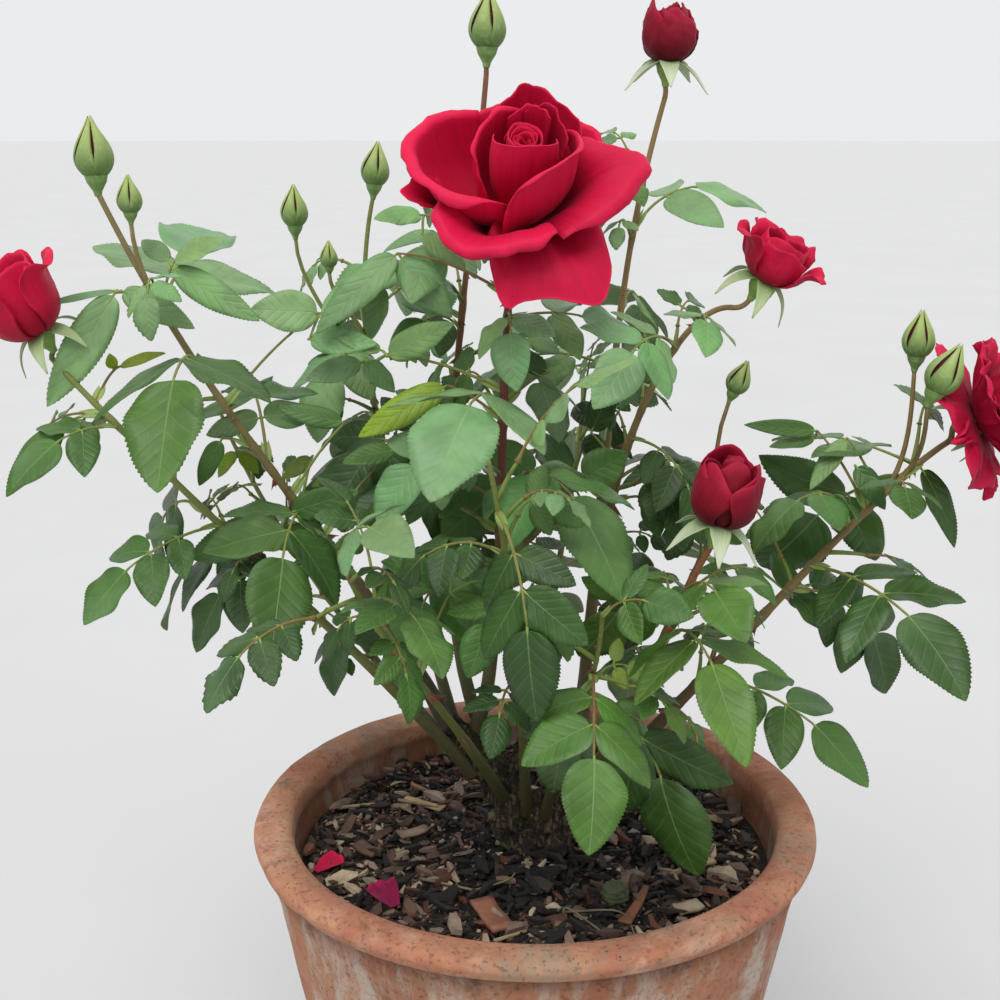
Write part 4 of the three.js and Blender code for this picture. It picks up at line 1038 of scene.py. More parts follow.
def grow():
    """The leaves to draw, with the side sprays among them, then the sprigs, then the side sprays
    alone. Sprigs grow only where the others leave room."""
    grown, room = grow_leaves()
    for row, share in SLIMMER.items():
        slim = [(*leaflet[:4], leaflet[4] * share) for leaflet in grown[row]["leaflets"]]
        grown[row]["leaflets"] = slim
    sprays = grow_side_sprays()
    for spray in sprays:
        room = room.plus(leaf_boxes(spray))
    small = [sprig for sprig in grow_sprigs(room) if not in_opening(sprig)]
    return [leaf for leaf in grown if not in_opening(leaf)] + sprays, small, sprays


leaves, sprigs, side_sprays = grow()


# Leaves
# The plain base colours that sprays are dealt. Pale is painted light: it stands in for the sheen of leaves
# on top.
SPRAY = {
    "deep": "#2A4913",
    "mid": "#3F6424",
    "fresh": "#466C20",
    "soft": "#55803F",
    "pale": "#6C935A",
    "lime": "#809A18",
}


# Heights from which a spray stands in the light, and up to which a small one may be lime
LIT_FROM, LIME_UP_TO = 430, 440


def spray_colour(leaf):
    """The plain colour of a spray: its own, or by its height and depth in the bush: pale on top in
    the light as painted sheen, fresh at the lower right, deep inside and behind as painted shade"""
    if leaf["colour"]:
        return leaf["colour"]
    x, y, z = leaf["curve"][-1]
    luck = leaf["luck"]
    if leaf["size"] < 0.6 and luck > 0.84 and z < LIME_UP_TO:
        return "lime"
    if z > LIT_FROM:
        return "pale" if luck > 0.35 else "mid"
    if x > 20 and y < -20:
        return "fresh" if luck > 0.4 else "mid"
    return "deep" if luck < (0.4 if y < 20 else 0.6) else "mid"


def blade_grid(root, ahead, face, long, wide, rows, columns, rng):
    """Leaflets as middle surfaces over (u, v), foot to tip and margin to margin. The half width is
    u^0.52 (1-u)^0.8 (1 - 0.12 u^4) over its peak, and every second margin point is pushed out and
    on as a tooth. The height over the leaflet's plane is the fold up from the midrib, the arch down
    to the tip, the quilting between the side veins, a wave along the margin and a slow swell."""
    n = len(root)
    u = np.linspace(0, 1, rows)[None, :, None]
    v = np.linspace(-1, 1, columns)[None, None, :]
    bow = u**0.52 * (1 - u) ** 0.8 * (1 - 0.12 * u**4)
    half = 0.05 * (1 - u) + 0.012 + 0.95 * bow / bow.max()
    tooth = np.where(np.arange(rows) % 2 == 1, 1.0, -1.0)[None, :, None]
    fade = smooth(u / 0.14) * smooth((1 - u) / 0.1)
    margin = np.abs(v) ** 6
    share = v * half * (1 + 0.023 * tooth * fade * margin)
    ahead_u = u + 0.4 / rows * (tooth + 1) * fade * margin
    off = np.abs(share)
    one = lambda low, high: rng.uniform(low, high, (n, 1, 1))
    fold, arch, cup = one(0.4, 2.4), one(0.5, 1.6), one(-0.16, 0.22)
    vein = u - VEIN_SLANT * off + VEIN_BEND * off**2
    quilt = np.cos(2 * math.pi * SIDE_VEINS * vein) * np.sqrt(np.clip(off * (1.05 - off), 0, 1))
    wave = np.sin(2 * math.pi * (one(1.0, 2.2) * u + one(0, 1) + 0.25 * np.sign(v))) * off**2
    tip_curl = one(-0.05, 0.1) * np.clip(u - 0.6, 0, 1) ** 2 * 6
    half_wide, long = wide[:, None, None] * one(0.82, 1.0) / 2, long[:, None, None]
    height = BLADE_FOLD * fold * half_wide * (off - 0.38 * off**2)
    height = height - BLADE_ARCH * arch * long * u**2 - tip_curl * long * 0.35
    height = height - quilt * one(0.004, 0.015) * half_wide
    height = height + (wave * one(0.04, 0.14) - cup * off**3) * half_wide
    swell = np.sin(2 * math.pi * (one(1.2, 2.6) * u + one(0, 1)))
    swell = swell * np.sin(math.pi * (one(0.8, 1.8) * v + one(0, 2)))
    height = height + swell * one(0.02, 0.07) * half_wide * np.sqrt(off)
    bend = one(-0.05, 0.05) * long * u**2
    side = np.cross(ahead, face)
    across = share * half_wide + bend
    points = (
        root[:, None, None]
        + ahead[:, None, None] * (ahead_u * long)[..., None]
        + side[:, None, None] * across[..., None]
        + face[:, None, None] * height[..., None]
    )
    place = np.stack(np.broadcast_arrays(u, 0.5 + share / 2), -1)[0]
    return points, place


# The bare stalk under each leaflet's blade
BARE_STALK = 1.6


def add_blades(heap, sprays, rows, columns, seed):
    """All leaflets of some sprays as closed sheets, pale below, in the colour of each spray"""
    rng = np.random.default_rng(seed)
    cast = [(part, spray_colour(leaf)) for leaf in sprays for part in leaf["leaflets"]]
    root, ahead, face, long, wide = [np.array(v) for v in zip(*[part for part, _ in cast])]
    tint = np.array([tone(SPRAY[colour]) for _, colour in cast])
    light = rng.uniform(0.84, 1.16, (len(cast), 1))
    hue = rng.uniform((0.88, 0.97, 0.85), (1.12, 1.03, 1.15), (len(cast), 3))
    tint = tint * light * hue
    start = root + ahead * BARE_STALK
    grid, place = blade_grid(start, ahead, face, long - BARE_STALK, wide, rows, columns, rng)
    points, faces = closed_sheets(grid, border_thin(rows, columns, 0.42, 0.35))
    # The rows run along the leaflet and the columns to its right, so the front faces the ground
    part = np.array([1.0, 0.0])[None, :, None, None]
    heap.add(points, [faces], place[None, None], tint[:, None, None, None], part)


def add_stalks(heap, sprays, seed):
    """The rachis of each leaf, swollen where it leaves the cane, and the short stalk of each
    leaflet"""
    rng = np.random.default_rng(seed)
    curves = np.array([leaf["curve"] for leaf in sprays])
    size = np.array([leaf["size"] for leaf in sprays])
    t = np.linspace(0, 1, 13) ** 1.2
    paths = np.stack([bezier(curves, s) for s in t], 1)
    girth = (0.95 - 0.35 * t + 1.1 * np.exp(-t / 0.03))[None] * (0.55 + 0.45 * size[:, None])
    points, faces, place = tubes(paths, girth, 6)
    warm = rng.uniform(0, 1, (len(sprays), 1, 1))
    colour = mix(tone("#7C9443"), tone("#8A5A3A"), warm * 0.75)
    heap.add(points, faces, place, colour)
    cast = [part for leaf in sprays for part in leaf["leaflets"]]
    root, ahead, _, long, _ = [np.array(v) for v in zip(*cast)]
    reach = np.linspace(0, 1, 4)[None, :, None] * (2.2 + 0.06 * long[:, None, None])
    stalk = root[:, None] + ahead[:, None] * reach
    points, faces, place = tubes(stalk, np.broadcast_to([0.62, 0.6, 0.5, 0.25], (len(root), 4)), 5)
    heap.add(points, faces, place, tone("#86A04E"))


def add_stipules(heap, sprays):
    """Stipules: a narrow wing on each side of the rachis's foot that ends in two pointed ears"""
    curves = np.array([leaf["curve"] for leaf in sprays])
    upper = np.array([leaf["upper"] for leaf in sprays])
    size = np.array([leaf["size"] for leaf in sprays])[:, None, None]
    stem = heading(curves, 0.08)
    face = square(upper, stem)
    side = np.cross(stem, face)
    rows, columns = 7, 5
    u = np.linspace(0, 1, rows)[None, :, None]
    v = np.linspace(-1, 1, columns)[None, None, :]
    across = v * (1.1 + 1.6 * np.sin(math.pi * u**0.8) + 0.8 * u) * size
    along = (u * 12 + 4.5 * u * (np.abs(v) - 0.4)) * size
    lift = (0.6 - 1.4 * np.abs(v) * u + 1.0 * np.abs(v)) * size
    grid = (
        bezier(curves, 0.0)[:, None, None]
        + stem[:, None, None] * along[..., None]
        + side[:, None, None] * across[..., None]
        + face[:, None, None] * lift[..., None]
    )
    points, faces = closed_sheets(grid, border_thin(rows, columns, 0.35, 0.5))
    place = np.stack(np.broadcast_arrays(u, 0.5 + v * 0.2), -1)[0]
    heap.add(points, [faces], place, tone("#8AA457"))


MASSES = [f"mass_{name}" for name in NAMES]
# Rows and columns of a large and of a small leaflet's grid
LARGE_BLADE, SMALL_BLADE = (53, 7), (19, 5)


def foliage():
    """The leaves in three pieces of about as many leaflets, from left to right, and the small ones
    with all stipules in a fourth"""
    material = leaf_paint()
    ends = np.array([leaf["curve"][-1][0] for leaf in leaves])
    weight = np.array([len(leaf["leaflets"]) for leaf in leaves])
    passed = np.cumsum(weight[np.argsort(ends)]) / weight.sum()
    cuts = [np.sort(ends)[np.searchsorted(passed, share)] for share in (1 / 3, 2 / 3)]
    third = np.searchsorted(cuts, ends)
    for k, side in enumerate(("left", "middle", "right")):
        heap = Heap()
        own = [leaf for leaf, part in zip(leaves, third) if part == k]
        add_blades(heap, own, *LARGE_BLADE, SEEDS["leaves"] + k)
        heap.piece(f"leaves_{side}", material, "foliage", *MASSES)
    heap = Heap()
    add_blades(heap, sprigs, *SMALL_BLADE, SEEDS["small_leaves"])
    add_stipules(heap, leaves)
    heap.piece("leaves_small", material, "foliage", *MASSES)


foliage()


# Canes
def cane_radius(cane, t):
    """The radius that a cane is drawn with: the rule's, and slimmer towards the tip"""
    root, tip = cane.radii
    return mix(root, tip, t**TAPER) * mix(0.9, 0.64, smooth(t / 0.65))


def add_cane(heap, i, start, end, rings, sides, seed):
    """A stretch of a cane from share start to share end: round, swollen a little at each leaf's
    node, uneven by a few hundredths of its radius, and coloured from its lower to its upper tint"""
    cane = CANES[NAMES[i]]
    t = np.linspace(start, end, rings)
    path = bezier(CURVES[i], t)
    radius = cane_radius(cane, t)[:, None] * np.ones(sides)
    nodes = [leaf["at"] for leaf in leaves + sprigs if leaf["cane"] == i]
    for at in nodes:
        radius = radius * (1 + 0.16 * np.exp(-(((t - at) / 0.008) ** 2)))[:, None]
    angle = np.arange(sides) * 2 * math.pi / sides
    wood = smooth((cane.bare + 0.15 - t) / 0.3)[:, None]
    x, y = np.cos(angle)[None], np.sin(angle)[None]
    rough = ripple(x * 5, y * 5, (t * 90)[:, None], 13, seed)
    knots = ripple(x * 2, y * 2, (t * 60)[:, None], 17, seed + 50)
    radius = radius * (1 + rough * mix(0.03, 0.09, wood) + knots * 0.05)
    points, faces, place = tubes(path[None], radius[None], sides)
    along = mix(start, end, place[0, :, 1])
    tint = mix(tone(cane.low), tone(cane.high), smooth((along - 0.15) / 0.55)[:, None])
    tint = mix(tone("#43362A"), tint, mix(0.25, 1.0, smooth(along / 0.34))[:, None])
    around = np.abs(place[0, :, 0] * 2 - 1)
    heap.add(points, faces, np.stack([around, 300 * along / 100], -1)[None], tint[None], along[None])


PRICKLE_TONES = ["#7A3A2A", "#6B4032", "#8A5A3C", "#5E4430"]
PRICKLY = ("right_main", "left_tall")
# Where the drawn length of the hidden cane at the back right ends
BACK_RIGHT_END = 0.63


def add_prickles(heap, seed):
    """Hooked prickles: rings that shrink from a long narrow foot on the cane to a point, along a
    line that leans back towards the cane's foot"""
    rng = np.random.default_rng(seed)
    rings, sides = 5, 8
    s = np.array([0, 0.12, 0.35, 0.65, 1.0])[:, None, None]
    a = (np.arange(sides) * math.pi / 4)[None, :, None]
    girth = (1 - s) ** 1.5 + 0.015
    # The rings run outwards and turn from the tangent to the side, so the faces are reversed
    faces = [f[:, ::-1] for f in limb_faces(rings, sides)]
    for i, (name, cane) in enumerate(CANES.items()):
        count = 15 if name in PRICKLY else 9
        for t in np.sort(rng.uniform(0.2, 0.6 if name == "back_right" else 0.9, count)):
            tangent, side, over = frame_at(CURVES[i], t)
            turn = rng.uniform(0, 2 * math.pi)
            out = side * math.cos(turn) + over * math.sin(turn)
            across = np.cross(out, tangent)
            tall = rng.uniform(3.2, 6.4) * (0.75 if t > 0.6 else 1)
            foot = bezier(CURVES[i], t) + out * (cane_radius(cane, t) - 0.6)
            spine = foot + out * tall * s - tangent * tall * 0.55 * s**1.7
            ring = spine + (tangent * np.cos(a) * 2.5 + across * np.sin(a) * 1.15) * girth * tall / 5
            point = foot + out * tall * 1.03 - tangent * tall * 0.58
            points = np.concatenate([ring.reshape(-1, 3), foot[None], point[None]])
            heap.add(points, faces, (0.5, 0.3), tone(rng.choice(PRICKLE_TONES)))


def add_twig(heap, curve, girth, sides, shade):
    """A plain limb along a Bezier curve, with a radius for each of its rings"""
    heap.limb(bezier(curve, np.linspace(0, 1, len(girth))), girth, sides, tone(shade))


# How each flower is shown: its kind of petals, its size, how far it is spun round its axis, how far
# its cane is carried on, how crumpled its petals are, and the way it faces
Shown = namedtuple("Shown", "kind size spin carry crumple face")
SHOWN = {
    "centre": ("open", 1.0, 0, (0, 0, 0), 0.012, FLOWERS["centre"][0]),
    "left_low": ("cupped", 0.92, -90, (1, 0, 4), 0.015, FLOWERS["left_low"][0]),
    "right_main": ("blowsy", 0.94, 0, (2, -1, 8), 0.07, (0.82, -0.38, 0.42)),
    "right_upper": ("half_open", 0.83, 0, (8, -1, 5), 0.035, (0.46, -0.24, 0.85)),
    "right_back": ("closed", 1.16, 80, (0, 0, 6), 0.06, FLOWERS["right_back"][0]),
    "front_right": ("closed", 1.04, 0, (0, 0, 0), 0.02, FLOWERS["front_right"][0]),
}
SHOWN = {name: Shown(*row) for name, row in SHOWN.items()}
CARRIED = {name: np.array(shown.carry, float) for name, shown in SHOWN.items() if any(shown.carry)}
BACK_BUD_RISE = 5
CARRIED["back_centre"] = UP * BACK_BUD_RISE
# The small bud at the right is drawn on a twig of its own from the cane below it
SMALL_TWIG = [[86, 3, 322], [100, 8, 352], [77, 16, 412], [92.5, 14, 455]]
TWIGS[3] = (NAMES.index("right_main"), np.array(SMALL_TWIG, float), TWIGS[3][2])


# Rings and sides of the bare and of the leafy length of a cane, and by how much of the cane the two
# overlap
BARE_GRID, LEAFY_GRID, OVERLAP = (46, 16), (90, 12), 0.002


def boughs(material):
    """The bare lower length of every cane"""
    heap = Heap()
    for i, cane in enumerate(CANES.values()):
        add_cane(heap, i, 0.0, cane.bare, *BARE_GRID, i)
    heap.piece("boughs", material, "cane", *[f"bough_{name}" for name in NAMES])


def add_carries(heap):
    """The short length by which a cane is carried on to where the photograph has its flower"""
    for name, carry in CARRIED.items():
        curve = curve_of(name)
        ahead = heading(curve, 1.0)
        onward = unit(np.array(SHOWN[name].face if name in SHOWN else UP, float))
        reach, tip = 0.4 * np.linalg.norm(carry), curve[-1] + carry
        bent = np.array([curve[-1] - ahead * 1.5, curve[-1] + ahead * reach, tip - onward * reach, tip])
        girth = cane_radius(CANES[name], 1.0) * np.linspace(1.0, 0.95, 8)
        add_twig(heap, bent, girth, 12, CANES[name].high)


def stems(material):
    """The leafy length of every cane, with its side twigs and prickles"""
    heap = Heap()
    for i, (name, cane) in enumerate(CANES.items()):
        end = BACK_RIGHT_END if name == "back_right" else 1.0
        add_cane(heap, i, cane.bare - OVERLAP, end, *LEAFY_GRID, i)
    add_carries(heap)
    for i, curve, _ in TWIGS:
        add_twig(heap, curve, mix(1.35, 1.0, np.linspace(0, 1, 12)), 10, CANES[NAMES[i]].high)
    for sprig in sprigs:
        add_twig(heap, sprig["twig"], np.linspace(1.3, 0.8, 6), 6, "#76883E")
    for spray in side_sprays:
        for stalk in spray["stalks"]:
            add_twig(heap, stalk, np.linspace(0.8, 0.6, 6), 6, "#86A04E")
    add_prickles(heap, SEEDS["prickles"])
    heap.piece("stems", material, "cane", *MASSES)


def leaf_stalks(material):
    """The stalks of all leaves"""
    heap = Heap()
    add_stalks(heap, leaves + sprigs, SEEDS["stalks"])
    heap.piece("leaf_stalks", material, "foliage", *MASSES)


cane_material = cane_paint()
boughs(cane_material)
stems(cane_material)
leaf_stalks(cane_material)


# The woody crown
# The arms of the crown: foot, lower and upper third and tip, and the radii at foot and tip
TRUNK_ARMS = [
    ([[0, 0, 225], [-7, 2, 243], [-20, 6, 262], [-41, 12, 286]], (14, 6.6)),
    ([[0, 0, 225], [8, 1, 238], [17, 3, 248], [26, 7, 262]], (13, 6.4)),
    ([[-14, 8, 262], [-8, 12, 272], [-2, 17, 284], [2, 21, 293]], (4.9, 3.2)),
    ([[-9, -8, 238], [-13, -14, 245], [-17, -20, 252], [-20, -25, 259]], (4.9, 3.6)),
]
# The knobs of the crown: x, y, z and radius
KNOBS = [
    [-41, 12, 286, 7.6], [26, 7, 262, 7.6], [-33, 6, 280, 7.2], [-38, 16, 278, 7.2], [-18, 12, 255, 8],
    [-13, 0, 249, 8], [-20, 14, 266, 8], [24, 12, 256, 7.5], [8, 10, 248, 8], [5, -7, 243, 8.5],
    [0, 0, 230, 16], [-8, 5, 230, 13], [9, 3, 230, 12], [-5, -9, 233, 9], [10, -7, 231, 9],
    [-13, -2, 236, 8], [3, 10, 235, 9], [14, 5, 238, 7],
]


def evaluated(blank):
    """The mesh of an object with its modifiers applied. The object is removed."""
    shape = bpy.data.meshes.new_from_object(blank.evaluated_get(bpy.context.evaluated_depsgraph_get()))
    bpy.data.objects.remove(blank)
    return shape


# The height under which no bark reaches, the sides of each limb, and the cells of the skin in metres
CROWN_FLOOR, CROWN_SIDES, CROWN_CELL = 225.4, 18, 0.0011


def crown():
    """The woody crown: the arms as tapering limbs and the knobs as balls, fused into one skin of
    small cells, then every point moved along its normal by cracks and lumps"""
    heap = Heap()
    t = np.linspace(0, 1, 16)
    for route, (root, tip) in TRUNK_ARMS:
        heap.limb(bezier(curve_through(route), t), mix(root, tip, t**0.8), CROWN_SIDES)
    polar = np.linspace(0.02, math.pi - 0.02, 12)
    for x, y, z, r in KNOBS:
        path = np.array([x, y, z]) + UP * (-np.cos(polar) * r)[:, None]
        heap.limb(path, np.sin(polar) * r, CROWN_SIDES)
    rough = linked("crown_blank", heap.mesh("crown_blank"))
    fuse = rough.modifiers.new("fuse", "REMESH")
    fuse.mode, fuse.voxel_size = "VOXEL", CROWN_CELL
    ease = rough.modifiers.new("ease", "SMOOTH")
    ease.iterations, ease.factor = 6, 0.6
    shape = evaluated(rough)
    n = len(shape.vertices)
    co, normal = np.zeros(n * 3, np.float32), np.zeros(n * 3, np.float32)
    shape.vertices.foreach_get("co", co)
    shape.vertices.foreach_get("normal", normal)
    co, normal = co.reshape(-1, 3).astype(float) / MM, normal.reshape(-1, 3).astype(float)
    x, y, z = co.T
    lumps = ripple(x, y, z, 15, 3, 3)
    cracks = 1 - np.abs(ripple(x * 1.7, y * 1.7, z * 0.6, 15, 9, 3)) * 2.4
    co += normal * (lumps * 1.9 - np.clip(cracks, 0, 1) ** 2 * 1.8)[:, None]
    co[:, 2] = np.maximum(co[:, 2], CROWN_FLOOR)
    shape.vertices.foreach_set("co", (co * MM).astype(np.float32).ravel())
    young = smooth((z - 244) / 40)[:, None]
    tint = mix(tone("#5F4E3C"), tone("#565230"), young)
    values = np.concatenate([tint, np.zeros((n, 1))], 1).astype(np.float32)
    shape.attributes.new("tint", "FLOAT_COLOR", "POINT").data.foreach_set("color", values.ravel())
    shape.polygons.foreach_set("use_smooth", np.ones(len(shape.polygons), bool))
    shape.update()
    piece = linked("woody_crown", shape)
    return settle(piece, bark_paint(), "bark", "trunk", "pruned_stub_back", "pruned_stub_front")


crown()


# Flowers and buds
def rounded_profile(corners, steps):
    """A Catmull-Rom curve through the corners, with the given number of steps between two"""
    p = np.array(corners, float)
    p = np.concatenate([p[:1] * 2 - p[1:2], p, p[-1:] * 2 - p[-2:-1]])
    t = np.linspace(0, 1, steps, endpoint=False)[None, :, None]
    a, b, c, d = p[:-3, None], p[1:-2, None], p[2:-1, None], p[3:, None]
    square_part = (2 * a - 5 * b + 4 * c - d) * t**2
    curve = 0.5 * (2 * b + (c - a) * t + square_part + (3 * b - a - 3 * c + d) * t**3)
    return np.concatenate([curve.reshape(-1, p.shape[1]), p[-2:-1]])


def petal_width(s, base):
    """A petal's width at share s of its length, over its greatest, from the width of its base"""
    widths = [base, base + 0.12, 0.66, 0.93, 1.0, 0.93, 0.84]
    return np.interp(s, [0, 0.12, 0.3, 0.55, 0.78, 0.92, 1.0], widths)


# Steps along a petal's middle line, and over how many of them to each side its lean is evened out
LEAN_STEPS, LEAN_EASE = 120, 12


def petal_grid(rows, columns, turn, foot, lean, long, wide, wrap, tip=(0.22, 2.4), side_roll=0.0,
               wave=(0.0, 2, 0.0), twist=0.0, base=0.3, lift=0.0):
    """One petal's middle surface over (u, v), foot to lip and edge to edge. Its middle line leans
    from the flower's axis by angles given at even shares of its length, and across it the petal is
    an arc that spans wrap degrees at its widest and closes towards the axis. The lip is cut back by
    tip[0] |v|^tip[1], both edges roll outwards, and the edge waves."""
    fine = np.linspace(0, 1, LEAN_STEPS + 1)
    knots = np.linspace(0, 1, len(lean))
    angle = np.radians(np.interp(fine, knots, lean))
    kernel = np.hanning(2 * LEAN_EASE + 1)
    angle = np.convolve(np.pad(angle, LEAN_EASE, mode="edge"), kernel / kernel.sum(), mode="valid")
    step = long / LEAN_STEPS
    out = foot + np.concatenate([[0], np.cumsum(np.sin(angle[:-1] + np.diff(angle) / 2))]) * step
    up = lift + np.concatenate([[0], np.cumsum(np.cos(angle[:-1] + np.diff(angle) / 2))]) * step
    u = np.linspace(0, 1, rows)[:, None]
    v = np.linspace(-1, 1, columns)[None, :]
    s = u * (1 - tip[0] * np.abs(v) ** tip[1])
    a = np.interp(s, fine, angle)
    o, h = np.interp(s, fine, out), np.interp(s, fine, up)
    bend = math.radians(wrap) / wide
    arc = v * petal_width(s, base) * wide / 2
    side, inward = np.sin(bend * arc) / bend, (1 - np.cos(bend * arc)) / bend
    edge = np.clip((np.abs(v) - 0.62) / 0.38, 0, 1) ** 2 * smooth((u - 0.25) / 0.5)
    inward = inward - side_roll * edge
    size, count, phase = wave
    lip = smooth((u - 0.45) / 0.55)
    inward = inward + size * np.sin(count * math.pi * v + phase) * lip
    o, h = o - np.cos(a) * inward, h + np.sin(a) * inward
    way = np.radians(turn + twist * u * v)
    x = o * np.cos(way) - side * np.sin(way)
    y = o * np.sin(way) + side * np.cos(way)
    return np.stack([x, y, h + 0 * x], -1), np.stack(np.broadcast_arrays(0.5 + v / 2, u), -1)


PETAL_ROWS, PETAL_COLUMNS, SEPAL_ROWS, SEPAL_COLUMNS = 25, 21, 15, 7
PETAL_THICK, PETAL_EDGE = 0.6, 0.5


def closed_petals(made, size=1.0):
    """Closed petals from middle surfaces with their maps, all on the same grid"""
    grid = np.stack([surface for surface, _ in made]) * size
    points, faces = closed_sheets(grid, border_thin(*grid.shape[1:3], PETAL_THICK, PETAL_EDGE))
    return points, faces, np.stack([place for _, place in made])[:, None]


def bloom_petals(rows):
    """Closed petals from a table of petal shapes"""
    return closed_petals([petal_grid(PETAL_ROWS, PETAL_COLUMNS, **row) for row in rows])


# How far each petal of the heart reaches round its axis, over half a turn
CORE_REACH = 1.15


def core_petals(count, radius, height, first, flare):
    """The tight heart of a flower: petals wound round its axis, each a little further out and a
    golden turn on from the one before"""
    rows = []
    for k in range(count):
        share = k / (count - 1)
        r = mix(radius * 0.16, radius, share**0.9)
        tall = height * mix(0.9, 1.0, share)
        rows.append(dict(turn=first + GOLDEN_TURN * k, foot=r * 0.55, lean=[24, 8, 2, -5, -7, flare],
                         long=tall, wide=r * math.pi * CORE_REACH, wrap=200 * CORE_REACH,
                         tip=(0.10, 2.2), wave=(0.25, 2, k * 1.7), base=0.5, lift=1.0))
    return rows


# The open flower's shaped petals, from the heart outwards. Each has its lip as turn, radius and
# height round the flower's axis, how it leaves the foot (radial, axial) and comes to the lip
# (radial, axial), how far the lip rolls over in degrees, and the radius of that roll.
SHAPED_PETALS = [
    ([(126, 13, 45), (100, 15, 47), (79, 16, 48), (62, 17, 47), (46, 16, 45)],
     (0.5, 0.1), (0.0, 0.6), 70, 0.7),
    ([(165, 14, 42), (-168, 14, 44), (-140, 13.5, 47), (-112, 12, 49), (-88, 11.5, 49.5),
      (-62, 12, 49), (-38, 13, 47.5), (-14, 14.5, 45), (14, 15, 42)],
     (0.6, 0.1), (-0.25, 0.6), 60, 0.7),
    ([(7, 18, 32), (22, 20, 40), (48, 21, 45), (63, 20, 49), (76, 18, 46), (92, 14, 46)],
     (0.6, 0.1), (0.0, 0.6), 60, 0.8),
    ([(-146, 17, 16), (-162, 20, 27), (-178, 21, 36), (158, 20, 42), (138, 18, 45), (113, 17, 46),
      (92, 16, 45)],
     (0.6, 0.1), (-0.1, 0.6), 110, 1.3),
    ([(-104, 31, 24), (-100, 29, 33), (-91, 27, 41), (-78, 25, 45), (-53, 23, 46), (-19, 23, 44),
      (11, 24, 40), (33, 25, 37), (52, 25, 32)],
     (0.75, 0.05), (-0.12, 0.6), 120, 1.4),
    ([(124, 28, 34), (113, 29, 37), (101, 31, 41), (90, 34, 46), (75, 33, 43), (60, 32, 41),
      (44, 32, 38), (29, 30, 34)],
     (0.6, 0.1), (0.05, 0.5), 60, 1.0),
    ([(129, 31, 32), (140, 35, 33), (151, 41, 33), (163, 45, 33), (179, 47, 33), (-164, 47, 34),
      (-151, 44, 34), (-137, 39, 34), (-121, 33, 33), (-104, 26, 27)],
     (0.62, 0.05), (0.08, 0.55), 150, 3.2),
    ([(38, 28, 30), (25, 35, 31), (13, 43, 32), (5, 51, 35), (-6, 52, 36), (-19, 47, 34),
      (-31, 44, 30), (-46, 40, 26), (-62, 36, 19)],
     (0.55, 0.1), (0.5, 0.12), 110, 4.2),
    ([(-149, 38, 27), (-140, 46, 28), (-130, 51, 27), (-121, 53, 25), (-107, 50, 25), (-91, 45, 27),
      (-80, 43, 28), (-68, 41, 28)],
     (0.6, -0.1), (0.45, 0.1), 140, 3.0),
    ([(179, 46, 21), (-165, 54, 20), (-156, 47, 19), (-148, 38, 17)],
     (0.6, -0.3), (0.3, 0.1), 40, 1.0),
    ([(-114, 36, 13), (-103, 47, 6), (-94, 58, 0), (-87, 55, 0), (-76, 55, 2), (-65, 59, 1),
      (-54, 63, -1), (-45, 59, 0), (-35, 50, 6), (-24, 38, 13)],
     (0.5, 0.15), (0.27, -0.45), 50, 1.6),
    ([(74, 30, 28), (62, 36, 27), (48, 40, 26), (32, 42, 24), (18, 40, 20), (8, 32, 16)],
     (0.65, -0.3), (0.2, 0.3), 90, 1.8),
    ([(147, 47, 20), (133, 43, 24), (116, 40, 26), (98, 39, 26), (84, 34, 24)],
     (0.65, -0.25), (0.2, 0.3), 90, 1.8),
    ([(-160, 34, 12), (170, 40, 15), (150, 42, 16), (132, 36, 14)],
     (0.65, -0.35), (0.2, 0.2), 80, 1.8),
]
FLOWER_TALL = 34.0
LIP_COLUMNS, BODY_ROWS, CURL_ROWS = 33, 20, 7


